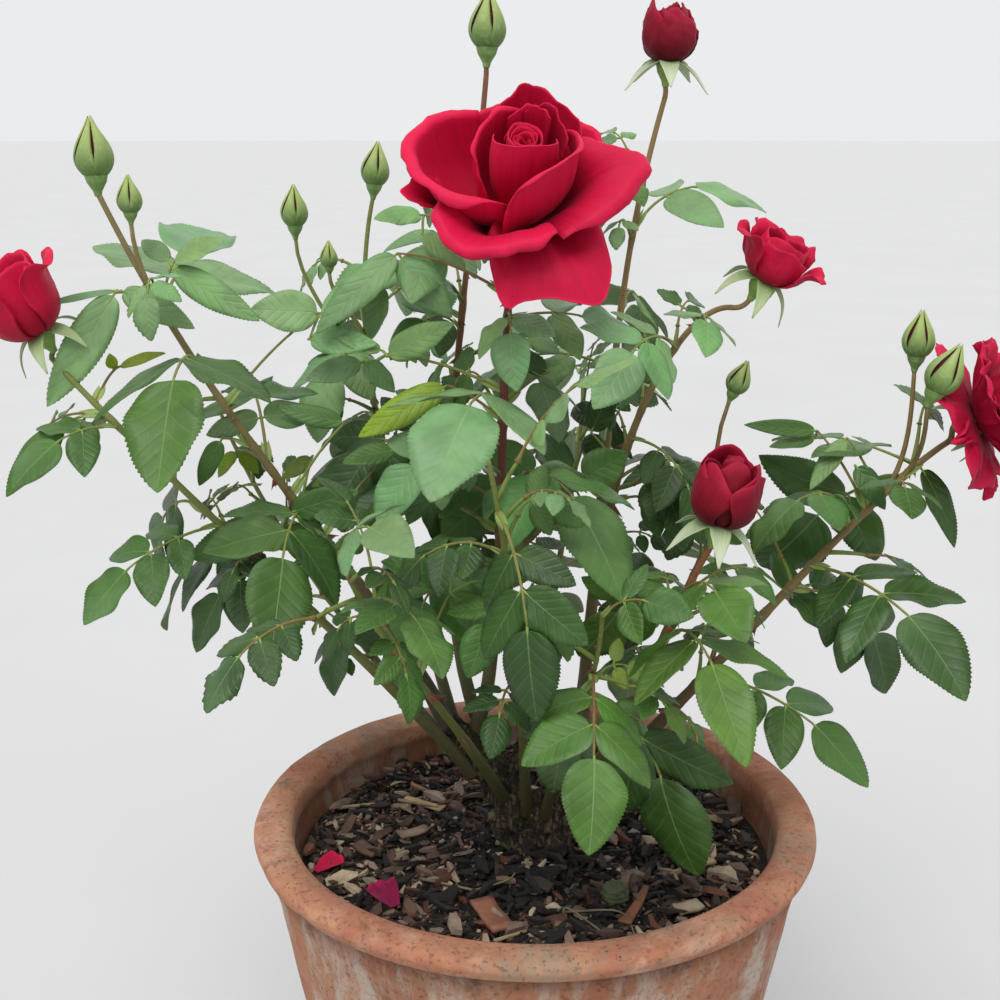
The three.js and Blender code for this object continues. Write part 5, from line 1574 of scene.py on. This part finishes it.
def shaped_petal(lip, leave, arrive, over, tight, lane):
    """A petal's middle surface over (u, v). Its columns are cubic Bezier curves from the flower's
    foot to a smooth curve through the lip's points, and past the lip they go on round a small arc,
    turned most at the middle of the lip and least at its two ends."""
    turn, radius, height = np.radians([p[0] for p in lip]), [p[1] for p in lip], [p[2] for p in lip]
    corner = np.stack([np.cos(turn) * radius, np.sin(turn) * radius, height], 1)
    edge = rounded_profile(corner, 8)
    length = np.concatenate([[0], np.cumsum(np.linalg.norm(np.diff(edge, axis=0), axis=1))])
    v = np.linspace(0, 1, LIP_COLUMNS)
    edge = np.stack([np.interp(v * length[-1], length, edge[:, k]) for k in range(3)], 1)
    out = unit(edge * [1, 1, 0])
    reach = np.linalg.norm(edge[:, :2], axis=1)[:, None]
    middle = unit(out.mean(0))
    foot = unit(mix(np.broadcast_to(middle, out.shape), out, 0.55)) * 3.2 + UP
    first = foot + out * reach * leave[0] + UP * FLOWER_TALL * leave[1]
    second = edge - out * reach * arrive[0] - UP * FLOWER_TALL * arrive[1]
    u = np.linspace(0, 1, BODY_ROWS)
    share = np.broadcast_to(u[:, None], (BODY_ROWS, LIP_COLUMNS))
    body = bezier(np.stack([foot, first, second, edge], 1)[None], share)
    ripples = np.sin(2 * math.pi * (v * 2.6 + lane * 0.37))
    ripples = ripples + 0.6 * np.sin(2 * math.pi * (v * 5.2 + lane * 0.71))
    shake = ripples[:, None] * smooth((u - 0.35) / 0.65)[:, None, None]
    body = body + (out * 0.014 * reach + UP * 0.2) * shake
    along = unit(body[-1] - body[-2])
    away = -unit(np.cross(along, np.gradient(body[-1], axis=0)))
    away = away * np.sign(np.sum(away * (out - UP * 0.4), axis=1, keepdims=True))
    ends = np.clip(np.minimum(v, 1 - v) / 0.22, 0, 1)
    turned_by = np.radians(over) * mix(0.35, 1.0, smooth(ends)) * (1 + 0.18 * ripples)
    curled = np.arange(1, CURL_ROWS + 1)
    arc = (curled / CURL_ROWS)[:, None, None] * turned_by[None, :, None]
    curl = body[-1] + along * np.sin(arc) * tight + away * (1 - np.cos(arc)) * tight
    far = np.concatenate([u * 0.88, 0.88 + 0.12 * curled / CURL_ROWS])
    place = np.stack(np.broadcast_arrays(v[None, :], far[:, None]), -1)
    return np.concatenate([body, curl]), place


def shaped_petals():
    """The open flower's shaped petals as closed sheets"""
    made = []
    for lane, row in enumerate(SHAPED_PETALS):
        grid, place = shaped_petal(*row, lane)
        middle = (BODY_ROWS // 2, LIP_COLUMNS // 2)
        # A lip given clockwise has its normal on the other side, so its columns are put the other way
        if np.sum(normals_of(grid)[middle] * grid[middle] * [1, 1, -0.2]) > 0:
            grid = grid[:, ::-1]
        made.append((grid, place))
    return closed_petals(made)


def petal(turn, foot, lean, long, wide, wrap, tip, wave, side_roll=0.0, twist=0.0):
    """A row of a table of petals, in the words of petal_grid"""
    return dict(turn=turn, foot=foot, lean=lean, long=long, wide=wide, wrap=wrap, tip=tip, wave=wave,
                side_roll=side_roll, twist=twist)


def inner_petal(turn, lean, long, wide, wrap, wave):
    """A smooth petal that stands close round the heart"""
    return petal(turn, 5, lean, long, wide, wrap, (0.16, 2.2), wave)


BLOWSY_PETALS = core_petals(7, 9, 28, 70, 14) + [
    petal(20 + 60 * k, 5, [72, 42, 22, 18, 34, 66], 34 + k % 2 * 3, 28, 110, (0.24, 1.7),
          (1.6, 2.5, k * 1.3), 1.5, 9 * math.sin(k * 2)) for k in range(6)
] + [
    petal(35 + 45 * k, 4, [86, 66, 48, 50, 76, 110 + 12 * math.sin(k * 2.2)], 38 + k * 2 % 3 * 2, 30, 64,
          (0.3, 1.6), (2.1, 2.4, k * 1.9), 3, 12 * math.sin(k * 1.7)) for k in range(8)
] + [
    petal(10 + 40 * k, 4, [92, 90, 94, 106, 124, 140 + 14 * math.sin(k * 1.3)],
          38 + 4 * math.sin(k * 2.7), 25, 46, (0.36, 1.4), (2.4, 2.2, k * 2.3), 3.5,
          16 * math.sin(k * 2.9)) for k in range(9)
]
CUPPED_PETALS = core_petals(5, 9, 31, 40, 4) + [
    inner_petal(30 + 120 * k, [78, 40, 8, -8, -8, 14], 42, 46, 170, (0.8, 2, k * 2.1)) for k in range(3)
] + [
    petal(84 + 118 * k, 5, [86, 50, 16, 4, 30, 110], 43 + k, 40, 110, (0.2, 2), (1.4, 2, k * 1.4), 2.5)
    for k in range(3)
]
HALF_OPEN_PETALS = core_petals(5, 9.5, 25, 40, -14) + [
    inner_petal(20 + 120 * k, [84, 52, 14, -8, -16, -4], 35, 44, 175, (0.9, 2, k * 2.1)) for k in range(3)
] + [
    petal(-96, 5, [88, 64, 26, 4, 6, 30], 34, 40, 120, (0.24, 1.7), (1.2, 2.4, 0.8), 2),
    petal(-22, 5, [90, 66, 36, 24, 60, 130], 37, 36, 80, (0.26, 1.7), (1.8, 2.2, 1.9), 4),
    petal(58, 5, [88, 60, 24, 8, 24, 80], 38, 38, 110, (0.22, 1.8), (1.6, 2.6, 0.2), 3),
    petal(130, 5, [88, 60, 22, 6, 22, 84], 38, 38, 110, (0.22, 1.8), (1.6, 2.2, 2.9), 3),
    petal(196, 5, [88, 60, 28, 18, 60, 140], 40, 34, 90, (0.24, 1.7), (1.4, 2.4, 1.2), 4),
]
CLOSED_PETALS = core_petals(3, 4.5, 30, 10, -34) + [
    petal(96, 4, [84, 42, 8, -6, -16, -14], 37, 34, 150, (0.3, 1.6), (0.7, 2, 0.4)),
    petal(-84, 3, [80, 30, 2, -8, -22, -40], 34, 24, 190, (0.26, 1.8), (0.4, 2, 1.2)),
    petal(-8, 4, [86, 44, 10, -6, -16, -24], 34, 33, 165, (0.24, 1.7), (0.8, 2.4, 2.2)),
    petal(-158, 4, [88, 52, 14, -10, -28, -38], 32.5, 36, 170, (0.26, 1.8), (0.6, 2, 0.9)),
    petal(-32, 4, [88, 54, 16, -6, -12, 6], 31, 33, 150, (0.3, 1.5), (1.1, 2.8, 1.8), 1.4),
    petal(70, 4, [88, 50, 14, -8, -14, -6], 33, 34, 160, (0.26, 1.7), (0.9, 2.6, 0.6), 1.0),
    petal(150, 4, [88, 52, 14, -8, -18, -14], 31.5, 34, 160, (0.26, 1.7), (0.9, 2.4, 2.6), 1.0),
]
# For each kind: its petals, the radius that they are drawn at, and its colours within and without:
# darker within as painted shade, brighter without as painted light
KINDS = {
    "open": (core_petals(10, 10.6, 46.5, 20, 2), 48, "#A30A2B", "#C80F3E"),
    "blowsy": (BLOWSY_PETALS, 31, "#8A0828", "#B40F3A"),
    "half_open": (HALF_OPEN_PETALS, 26, "#8E0826", "#BC0E39"),
    "cupped": (CUPPED_PETALS, 26, "#A00A2A", "#C80F3E"),
    "closed": (CLOSED_PETALS, 17.5, "#4E0312", "#7E0620"),
}
# A sepal's width at its foot, over its greatest
SEPAL_BASE = 0.6


def sepal_grid(shape):
    """A sepal's middle surface: widest near its foot and drawn out to a thin point, leaning from
    the flower's axis by angles given at even shares of its length"""
    grid, place = petal_grid(SEPAL_ROWS, SEPAL_COLUMNS, **shape, tip=(0.0, 2), base=SEPAL_BASE)
    u = np.linspace(0, 1, SEPAL_ROWS)[:, None]
    slim = np.interp(u, [0, 0.15, 0.35, 0.6, 0.85, 1], [0.9, 1.0, 0.92, 0.62, 0.26, 0.07])
    half = SEPAL_COLUMNS // 2
    middle = grid[:, half:half + 1]
    return middle + (grid - middle) * (slim / petal_width(u, SEPAL_BASE))[..., None], place


def round_body(profile, sides=20, rings=26):
    """A lathed body from (radius, height) pairs, eased between them"""
    r, h = np.array(profile, float).T
    t = np.linspace(0, len(r) - 1, rings)
    k = np.clip(t.astype(int), 0, len(r) - 2)
    share = smooth(t - k) * 0.35 + (t - k) * 0.65
    radius = mix(r[k], r[k + 1], share)
    path = UP * mix(h[k], h[k + 1], share)[:, None]
    return tubes(path[None], np.maximum(radius, 0.02)[None], sides)


# What flowers and buds are gathered in: petals in two pieces, green parts in one
petals, calyx = {"left": Heap(), "right": Heap()}, Heap()
LEFT_BLOOMS = ("centre", "left_low")


def add_sepals(at, face, rows, tint, size):
    """The sepals round a flower's foot, from one colour there to another at their tips"""
    points, faces, place = closed_petals([sepal_grid(row) for row in rows], size)
    colour = mix(tone(tint[0]), tone(tint[1]), smooth(place[..., 1:2] / 0.9))
    calyx.add(stood(points, at, face), [faces], place, colour)


def add_hip(at, face, size, tint="#7E9A4A"):
    """The green cup under a flower"""
    points, faces, place = round_body([(1.6, -1.5), (2.2, 1), (4.6, 5), (5.4, 8), (4.8, 11), (3.2, 12)])
    calyx.add(stood(points * size, at, face), faces, place, tone(tint))


# The sepals of a closed and of an opened flower: their two colours, lean, length, width and size
CLOSED_SEPALS = (("#8AA070", "#BCC6A8"), [96, 112, 126, 134, 128], 26, 11, 0.9)
OPEN_SEPALS = (("#738F50", "#A9BA8C"), [96, 112, 132, 150, 156], 22, 8.5, 1.0)


def add_flower(name):
    """A flower as it is shown: petals, hip and five sepals"""
    radius = FLOWERS[name][2]
    kind, size, spin, carry, crumple, face = SHOWN[name]
    rows, drawn, deep, bright = KINDS[kind]
    face = unit(np.array(face, float))
    tip = curve_of(name)[-1] + carry
    heap = petals["left" if name in LEFT_BLOOMS else "right"]
    for points, faces, place in [bloom_petals(rows)] + ([shaped_petals()] if kind == "open" else []):
        # Painted shade and light: each petal runs from the darker colour at its foot to the brighter one at
        # its lip
        tint = mix(tone(deep), tone(bright), smooth((place[..., 1:2] - 0.1) / 0.8))
        own = 1 + 0.10 * np.sin(np.arange(len(points)) * 2.4)[:, None, None, None, None]
        x, y, z = np.moveaxis(points, -1, 0)
        points = points * (1 + crumple * ripple(x, y, z, 11, 5, 4))[..., None]
        points = turned(points * (size * radius / drawn), UP, np.radians(spin))
        heap.add(stood(points, tip + face * (HIP_LONG - 1), face), [faces], place, tint * own)
    add_hip(tip, face, 1.0)
    green, lean, long, wide, scale = CLOSED_SEPALS if kind == "closed" else OPEN_SEPALS
    rows = [dict(turn=72 * k - 90, foot=3.8, lean=[x + 9 * math.sin(k * 2) for x in lean], long=long,
                 wide=wide, wrap=50) for k in range(5)]
    add_sepals(tip + face * (HIP_LONG - 0.5), face, rows, green, scale)


def add_bud(at, face, size):
    """An unopened bud: the petals' pointed body, dark where it shows between the sepals, which clasp
    it and draw out past its tip, over a round hip"""
    body = [(2.5, 5), (5.7, 9), (6.6, 13.6), (5.2, 19), (2.6, 24), (0.6, 27.6)]
    points, faces, place = round_body(body)
    petals["left"].add(stood(points * size, at, face), faces, place, tone("#4A1426"))
    add_hip(at, face, size * 0.84, "#6A8A46")
    rows = [dict(turn=way, foot=3.6, lean=[56, 25, -10, -30, -34, -26 + 9 * math.sin(k * 2.3)],
                 long=25 + 1.4 * math.cos(k * 1.9), wide=9.8, wrap=108)
            for k, way in enumerate((-40, 30, 100, 172, 250))]
    add_sepals(at + face * 6.4 * size, face, rows, ("#5B7A3E", "#9AAE62"), size)


# How far each cane with a bud is carried on, and how large and how upright its bud stands
BUDS_SHOWN = {
    "left_tall": (0, 1.14, 0.9),
    "back_centre": (BACK_BUD_RISE, 1.18, 0.6),
    "back_left": (0, 1.0, 0.5),
}
# For the bud of each twig, in the order of BUD_TWIGS: its size over the rule's, and how far it leans
# to the right
TWIG_BUDS = [(1.0, 0), (1.06, 0.06), (1.1, 0.42), (0.9, 0.04), (1.0, 0), (1.0, 0)]


def flowers(material):
    """Every flower and bud: the petals in two pieces, and the green parts in one"""
    for name in FLOWERS:
        add_flower(name)
    for name, (rise, size, upright) in BUDS_SHOWN.items():
        curve = curve_of(name)
        face = unit(mix(heading(curve, 1), UP, upright))
        add_bud(curve[-1] + face * rise, face, size)
    for (_, curve, size), (grown, lean) in zip(TWIGS, TWIG_BUDS):
        face = unit(heading(curve, 1) + np.array([lean, -lean / 3, 0]))
        add_bud(curve[-1], face, size * grown)
    for side, heap in petals.items():
        shown = [f"bloom_{name}" for name in FLOWERS if (name in LEFT_BLOOMS) == (side == "left")]
        heap.piece(f"blossom_{side}", material, "petal", *shown)
    calyx.piece("calyxes", sepal_paint(), "foliage", *MASSES)


petal_material = petal_paint()
flowers(petal_material)


# Pot and compost
POT_COLUMNS, POT_FLOOR = 200, 14.0
DRAINS, DRAIN_AT, DRAIN_RADIUS = 3, 46, 6.0
# The pot's outline as (radius, height): under its foot, up the outside, over the rim and down the
# inside, and over its floor
FOOT_LINE = [[0.5, 0], [40, 0], [70, 0], [82.6, 0.2]]
WALL_LINE = [
    [84.2, 1.6], [91, 30], [100.5, 72], [109.5, 112.5], [119.5, 162], [129, 212], [132.4, 228],
    [133.2, 235.2], [134.4, 238.6], [137.4, 239.4], [138.9, 241.6], [140, 245.2], [137.8, 248.9],
    [130, 250], [123, 248.2], [120.4, 243], [119.4, 228], [109, 170], [99.5, 112.5], [86, 64],
    [75.5, 16.5],
]
FLOOR_LINE = [[72, 14.2], [50, 14], [20, 14], [0.5, 14]]


def pot_blank():
    """The pot before its holes are cut: its outline carried round the axis, a little out of round,
    with the rings of throwing on the wall and knocks in the rim"""
    outline = np.concatenate([FOOT_LINE, rounded_profile(WALL_LINE, 7), FLOOR_LINE])
    angle = (np.arange(POT_COLUMNS) * 2 * math.pi / POT_COLUMNS)[None, :]
    r, z = outline[:, :1], outline[:, 1:]
    x, y = r * np.cos(angle), r * np.sin(angle)
    wall = smooth((r - 60) / 20)
    rim = smooth((z - 234) / 6)
    swell = 0.5 * np.sin(2 * angle + 0.8) + 0.25 * np.sin(3 * angle + 2)
    rings = 0.22 * np.sin(2 * math.pi * z / 7.3 + 0.4 * np.sin(angle + 1)) * (1 - rim)
    knocks = ripple(x, y, z + 0 * x, 60, 12, 5)
    knocks = knocks * 0.45 - 1.1 * np.clip(knocks - 0.42, 0, 1) * rim * 3
    grow = (swell * rim + rings + knocks) * wall
    points = np.stack([x + grow * np.cos(angle), y + grow * np.sin(angle), z + 0 * x], -1)
    points = points + (knocks * 0.5 * rim)[..., None] * UP
    skin = np.concatenate([points.reshape(-1, 3), [[0, 0, 0], [0, 0, POT_FLOOR]]])
    quads, low, high = limb_faces(len(outline), POT_COLUMNS)
    heap = Heap()
    # Rows climb outside and columns turn to the left, so the faces are reversed to look outwards
    heap.add(skin, [quads[:, ::-1], low[:, [0, 2, 1]], high[:, [0, 2, 1]]])
    return linked("pot_blank", heap.mesh("pot_blank"))


def pot():
    """The pot, with its drain holes cut through the floor"""
    blank = pot_blank()
    drills = Heap()
    for k in range(DRAINS):
        turn = math.radians(120 * k + 90)
        at = np.array([DRAIN_AT * math.cos(turn), DRAIN_AT * math.sin(turn), 0])
        path = at + UP * np.linspace(-5, 20, 3)[:, None]
        drills.limb(path, np.full(3, DRAIN_RADIUS), 32)
    drill = linked("drill", drills.mesh("drill"))
    cut = blank.modifiers.new("drains", "BOOLEAN")
    cut.operation, cut.object = "DIFFERENCE", drill
    shape = evaluated(blank)
    bpy.data.objects.remove(drill)
    return settle(linked("clay_pot", shape), terracotta_paint(), "terracotta", "pot")


def ground(x, y):
    """The height of the compost: it rises to the middle, in clods"""
    r = np.hypot(x, y)
    clods = ripple(x, y, 0 * x, 34, 4, 4) * 2.6 * smooth((116 - r) / 12)
    return SOIL_EDGE + 0.4 + 2.2 * smooth(1 - r / 116) + clods


def ground_at(x, y):
    """The height of the compost at one point"""
    return float(ground(np.array(x), np.array(y)))


# How far the compost is kept from the pot's floor
SOIL_FLOOR = 14.4


def compost():
    """The filling: a clodded top carried down the inside of the pot to its floor"""
    columns = 96
    angle = (np.arange(columns) * 2 * math.pi / columns)[None, :]
    r = np.concatenate([[0.4], np.linspace(3, 115, 44), [117.6, 117.2, 98.2, 73.4, 30, 0.4]])[:, None]
    z = ground(r * np.cos(angle), r * np.sin(angle))
    z[-5:] = np.array([222, 112.5, SOIL_FLOOR, SOIL_FLOOR, SOIL_FLOOR])[:, None]
    points = np.stack([r * np.cos(angle), r * np.sin(angle), z], -1)
    skin = np.concatenate([points.reshape(-1, 3), [[0, 0, z[0].mean()], [0, 0, SOIL_FLOOR]]])
    heap = Heap()
    # Rows run outwards over the top and then down
    heap.add(skin, limb_faces(len(r), columns))
    return heap.piece("compost", compost_paint(), "compost", "soil")


CHIP_TONES = [
    "#14100D", "#1E1712", "#2E241D", "#46362C", "#62493C", "#7C6458", "#6A3F2E", "#9C8878", "#C2AE94",
]
# Sorts of chip: how many, the least and greatest length, and how deep they pile
CHIPS = [(2700, 4, 10, 3.4), (420, 9, 18, 5.0), (4600, 1.4, 4.2, 2.6)]
# The crown's front, round which the chips are dark as painted shade under the bush, how far that shade
# reaches, and the bare round of the crown
DARK_SPOT, DARK_REACH, CROWN_ROUND = (12, -34), 62, 13
MULCH_RADIUS = 113.5


def mulch():
    """Shredded bark over the compost: flat splinters of three cross-sections each, bent, tapered
    and tilted at random, and finer crumbs between them"""
    rng = np.random.default_rng(SEEDS["mulch"])
    heap = Heap()
    for count, low, high, lift in CHIPS:
        radius = MULCH_RADIUS * np.sqrt(rng.uniform(0.0, 1, count))
        way = rng.uniform(0, 2 * math.pi, count)
        x, y = radius * np.cos(way), radius * np.sin(way)
        keep = np.hypot(x, y) > CROWN_ROUND
        x, y = x[keep], y[keep]
        n = len(x)
        long = rng.uniform(low, high, n)
        wide = long * rng.uniform(0.16, 0.5, n)
        thick = np.clip(long * rng.uniform(0.12, 0.3, n), 0.8, 3.6)
        centre = np.stack([x, y, ground(x, y) + 0.3 + rng.uniform(0, lift, n) ** 1.2], 1)
        near_wall = smooth((np.hypot(x, y) + long / 2 - 113) / 6)[:, None]
        yaw = rng.uniform(0, 2 * math.pi, n)
        round_way = np.arctan2(y, x) + math.pi / 2
        yaw = np.where(near_wall[:, 0] > 0.3, round_way + rng.normal(0, 0.25, n), yaw)
        ahead = unit(np.stack([np.cos(yaw), np.sin(yaw), rng.normal(0, 0.22, n)], 1))
        top = square(UP + rng.normal(0, 0.32, (n, 3)), ahead)
        side = np.cross(top, ahead)
        s = np.array([-0.5, 0.05, 0.5])[None, :, None]
        taper = np.stack([rng.uniform(0.15, 0.8, n), np.ones(n), rng.uniform(0.1, 0.7, n)], 1)[..., None]
        bow = np.stack([rng.normal(0, size, n) for size in (0.07, 0.03, 0.07)], 1)[..., None]
        reach = long[:, None, None]
        spine = centre[:, None] + ahead[:, None] * s * reach
        spine = spine + top[:, None] * bow * reach + side[:, None] * bow[:, ::-1] * reach
        corner = np.array([[-1, -1], [1, -1], [0.8, 1], [-0.9, 1]])
        a = side[:, None, None] * (corner[:, 0][:, None] * wide[:, None, None, None] / 2)
        b = top[:, None, None] * (corner[:, 1][:, None] * thick[:, None, None, None] / 2)
        points = spine[:, :, None] + (a + b) * taper[..., None]
        ring = grid_faces(3, 4, n, wrap=True)
        caps = np.array([[0, 1, 2, 3], [11, 10, 9, 8]])
        caps = (caps[None] + np.arange(n)[:, None, None] * 12).reshape(-1, 4)
        # Dark tones round the crown's front as painted shade under the bush, paler towards the wall
        light = smooth(np.hypot(x - DARK_SPOT[0], y - DARK_SPOT[1]) / DARK_REACH - 0.25)
        rank = rng.uniform(0, 1, n) ** mix(3.4, 1.2, light)
        shade = np.array([tone(code) for code in CHIP_TONES])[(rank * len(CHIP_TONES)).astype(int)]
        shade = shade * rng.uniform(0.75, 1.25, (n, 1))
        along = s + 0.5 + rng.uniform(0, 9, n)[:, None, None]
        place = np.stack(np.broadcast_arrays(along, np.array([0.0, 0.35, 0.5, 0.85])), -1)
        heap.add(points, [ring, caps], place, shade[:, None, None])
    flat = heap.piece("bark_mulch", chip_paint(), "compost", "soil").data.polygons
    flat.foreach_set("use_smooth", np.zeros(len(flat), bool))


# What lies on the mulch, each a bent slab: x, y, its turn, length, width, thickness, bend and colour,
# and its width at the end over that at the start. The first is a shard of clay, the second a pale
# chip and the third a long curl of bark.
SLABS = [
    (-21, -71, -1.17, 27, 11, 3.0, 0.3, "#96604C", 1.0),
    (70, -69, 0.4, 13, 8, 2.2, 0.1, "#A6957E", 1.0),
    (46, -64, 1.17, 34, 6, 1.8, 0.9, "#7A4A30", 0.5),
    (33, 40, 2.1, 20, 9, 1.8, 0.4, "#A78F74", 0.7),
    (-58, 36, 2.6, 24, 6, 1.4, 0.3, "#B39A70", 0.6),
    (-62, 4, 0.5, 16, 7, 1.8, 0.5, "#8A7462", 0.8),
    (-84, -12, 2.4, 15, 8, 2.4, 0.5, "#6B4D3C", 0.9),
    (83, -20, 1.9, 15, 8, 2.2, 0.4, "#B09676", 0.8),
    (64, -4, 0.3, 17, 7, 2.2, 0.5, "#B8A68C", 0.7),
]
# Straws and bent twigs: radius, colour and a run of corners
STRAWS = [
    (1.0, "#94866A", [(-20, -93), (12, -74)]),
    (0.7, "#8A7D66", [(12, -74), (14, -66), (29, -88)]),
    (0.6, "#7A6E58", [(13, -69), (38, -71), (44, -88)]),
    (0.9, "#87795E", [(-56, -38), (-28, -54)]),
    (0.6, "#7C7A54", [(-30, -53), (-14, -44), (-10, -39)]),
    (1.1, "#A8977A", [(-104, 31), (-84, 34)]),
    (0.9, "#A08C6C", [(-72, 38), (-50, 30)]),
    (1.2, "#A07A5A", [(-66, 58), (-52, 44), (-40, 46)]),
    (0.8, "#6E5A40", [(62, 44), (84, 18)]),
    (0.8, "#84704E", [(-38, 86), (0, 78)]),
    (0.7, "#6E5A40", [(20, 92), (50, 70)]),
]
LUMP_AT = (37, -57)
LUMP = [(1, -2), (5.4, 0), (6.6, 3), (5.6, 6.5), (2.6, 9), (0.4, 9.6)]


def add_slab(heap, x, y, yaw, long, wide, thick, bend, shade, taper):
    """A flat piece, tapered along its length, that bows up towards both ends"""
    rows, columns = 7, 5
    u = np.linspace(-0.5, 0.5, rows)[:, None]
    v = np.linspace(-0.5, 0.5, columns)[None, :]
    bow = bend * (u**2) * 4
    across = v * wide * mix(1, taper, u + 0.5) * (1 + 0.06 * np.sin(9 * u))
    grid = np.stack(np.broadcast_arrays(u * long, across, bow * thick), -1)
    points, faces = closed_sheets(grid[None], border_thin(rows, columns, thick, 0.75))
    c, s = math.cos(yaw), math.sin(yaw)
    turn = np.array([[c, s, 0], [-s, c, 0], [0, 0.12, 1]])
    at = np.array([x, y, ground_at(x, y) + 4.5 + thick / 2])
    heap.add(points @ turn + at, [faces], (0.5, 0.5), tone(shade))


def add_straw(heap, girth, shade, corners):
    """A thin limb that lies on the mulch along rounded corners and thins to its end"""
    path = rounded_profile([(x, y, ground_at(x, y) + 5.2 + girth) for x, y in corners], 6)
    heap.limb(path, girth * np.linspace(1, 0.6, len(path)), 7, tone(shade))


def litter():
    """What has fallen on the mulch: slabs, straws and a mossy lump, each where the ground carries
    it"""
    heap = Heap()
    for row in SLABS:
        add_slab(heap, *row)
    for row in STRAWS:
        add_straw(heap, *row)
    points, faces, place = round_body(LUMP, 40, 30)
    x, y, z = np.moveaxis(points, -1, 0)
    points = points * (1 + 0.16 * ripple(x, y, z, 5, 7, 3))[..., None]
    at = np.array([*LUMP_AT, ground_at(*LUMP_AT) + 3])
    heap.add(points + at, faces, place, tone("#4A5436"))
    heap.piece("litter", chip_paint(), "compost", "soil")


# The fallen petals: x, y, turn, size and colour
FALLEN = [(-100, -28, 0.6, 0.34, "#B4123E"), (-71, -60, 2.2, 0.4, "#7E1440")]


def fallen_petals(material):
    """Petals that have dropped on the mulch, curled at the edges"""
    heap = Heap()
    for x, y, turn, size, shade in FALLEN:
        row = petal(0, 0, [80, 84, 88, 92, 80, 60], 46, 44, 80, (0.2, 2), (2.4, 3, x))
        points, faces, place = bloom_petals([row])
        c, s = math.cos(turn), math.sin(turn)
        points = (points * size - np.array([9, 0, 0])) @ np.array([[c, s, 0.1], [-s, c, 0], [-0.1, 0, 1]])
        at = np.array([x, y, ground_at(x, y) + 5.5])
        heap.add(points + at, [faces], place, tone(shade))
    heap.piece("fallen_petals", material, "petal", "soil")


pot()
compost()
mulch()
litter()
fallen_petals(petal_material)


# Floor, light and camera
# A round floor in metres
FLOOR_RADIUS, FLOOR_SIDES = 60, 96
SKY_COLOUR, SKY_STRENGTH = (0.97, 0.985, 1.0, 1), 0.85
# The photograph's camera: its place in metres, how far it looks down, and its lens
CAMERA_AT, CAMERA_DOWN = (-0.0173, -0.6407, 0.582), 15.06
LENS, SENSOR, NEAREST = 50, 36, 0.02


def add_floor():
    """The floor that the pot stands on"""
    turn = np.linspace(0, 2 * math.pi, FLOOR_SIDES, endpoint=False)
    rim = np.stack([FLOOR_RADIUS * np.cos(turn), FLOOR_RADIUS * np.sin(turn), 0 * turn], 1)
    floor = bpy.data.meshes.new("floor")
    floor.from_pydata(rim.tolist(), [], [list(range(FLOOR_SIDES))])
    floor.materials.append(floor_paint())
    stage = linked("floor", floor)


def add_sky():
    """An even, nearly white sky"""
    world = bpy.data.worlds.new("daylight")
    world.use_nodes = True
    background = world.node_tree.nodes["Background"]
    background.inputs["Color"].default_value = SKY_COLOUR
    background.inputs["Strength"].default_value = SKY_STRENGTH
    bpy.context.scene.world = world


def soft_sun(name, strength, spread, tilt, yaw, colour):
    """Daylight from one side of the sky: tilt is its angle from overhead, yaw its compass side"""
    light = bpy.data.lights.new(name, "SUN")
    light.energy, light.angle, light.color = strength, math.radians(spread), colour
    linked(name, light).rotation_euler = (math.radians(tilt), 0, math.radians(yaw))


def add_camera():
    """The photograph's camera"""
    lens = bpy.data.cameras.new("camera")
    lens.lens, lens.sensor_width, lens.clip_start = LENS, SENSOR, NEAREST
    camera = linked("camera", lens)
    camera.location = CAMERA_AT
    camera.rotation_euler = (math.radians(90 - CAMERA_DOWN), 0, 0)
    bpy.context.scene.camera = camera


add_floor()
add_sky()
soft_sun("key", 1.95, 35, 36, -14, (1.0, 0.98, 0.94))
soft_sun("back", 0.35, 60, 50, 160, (0.96, 0.98, 1.0))
add_camera()
bpy.context.scene.view_settings.view_transform = "Standard"
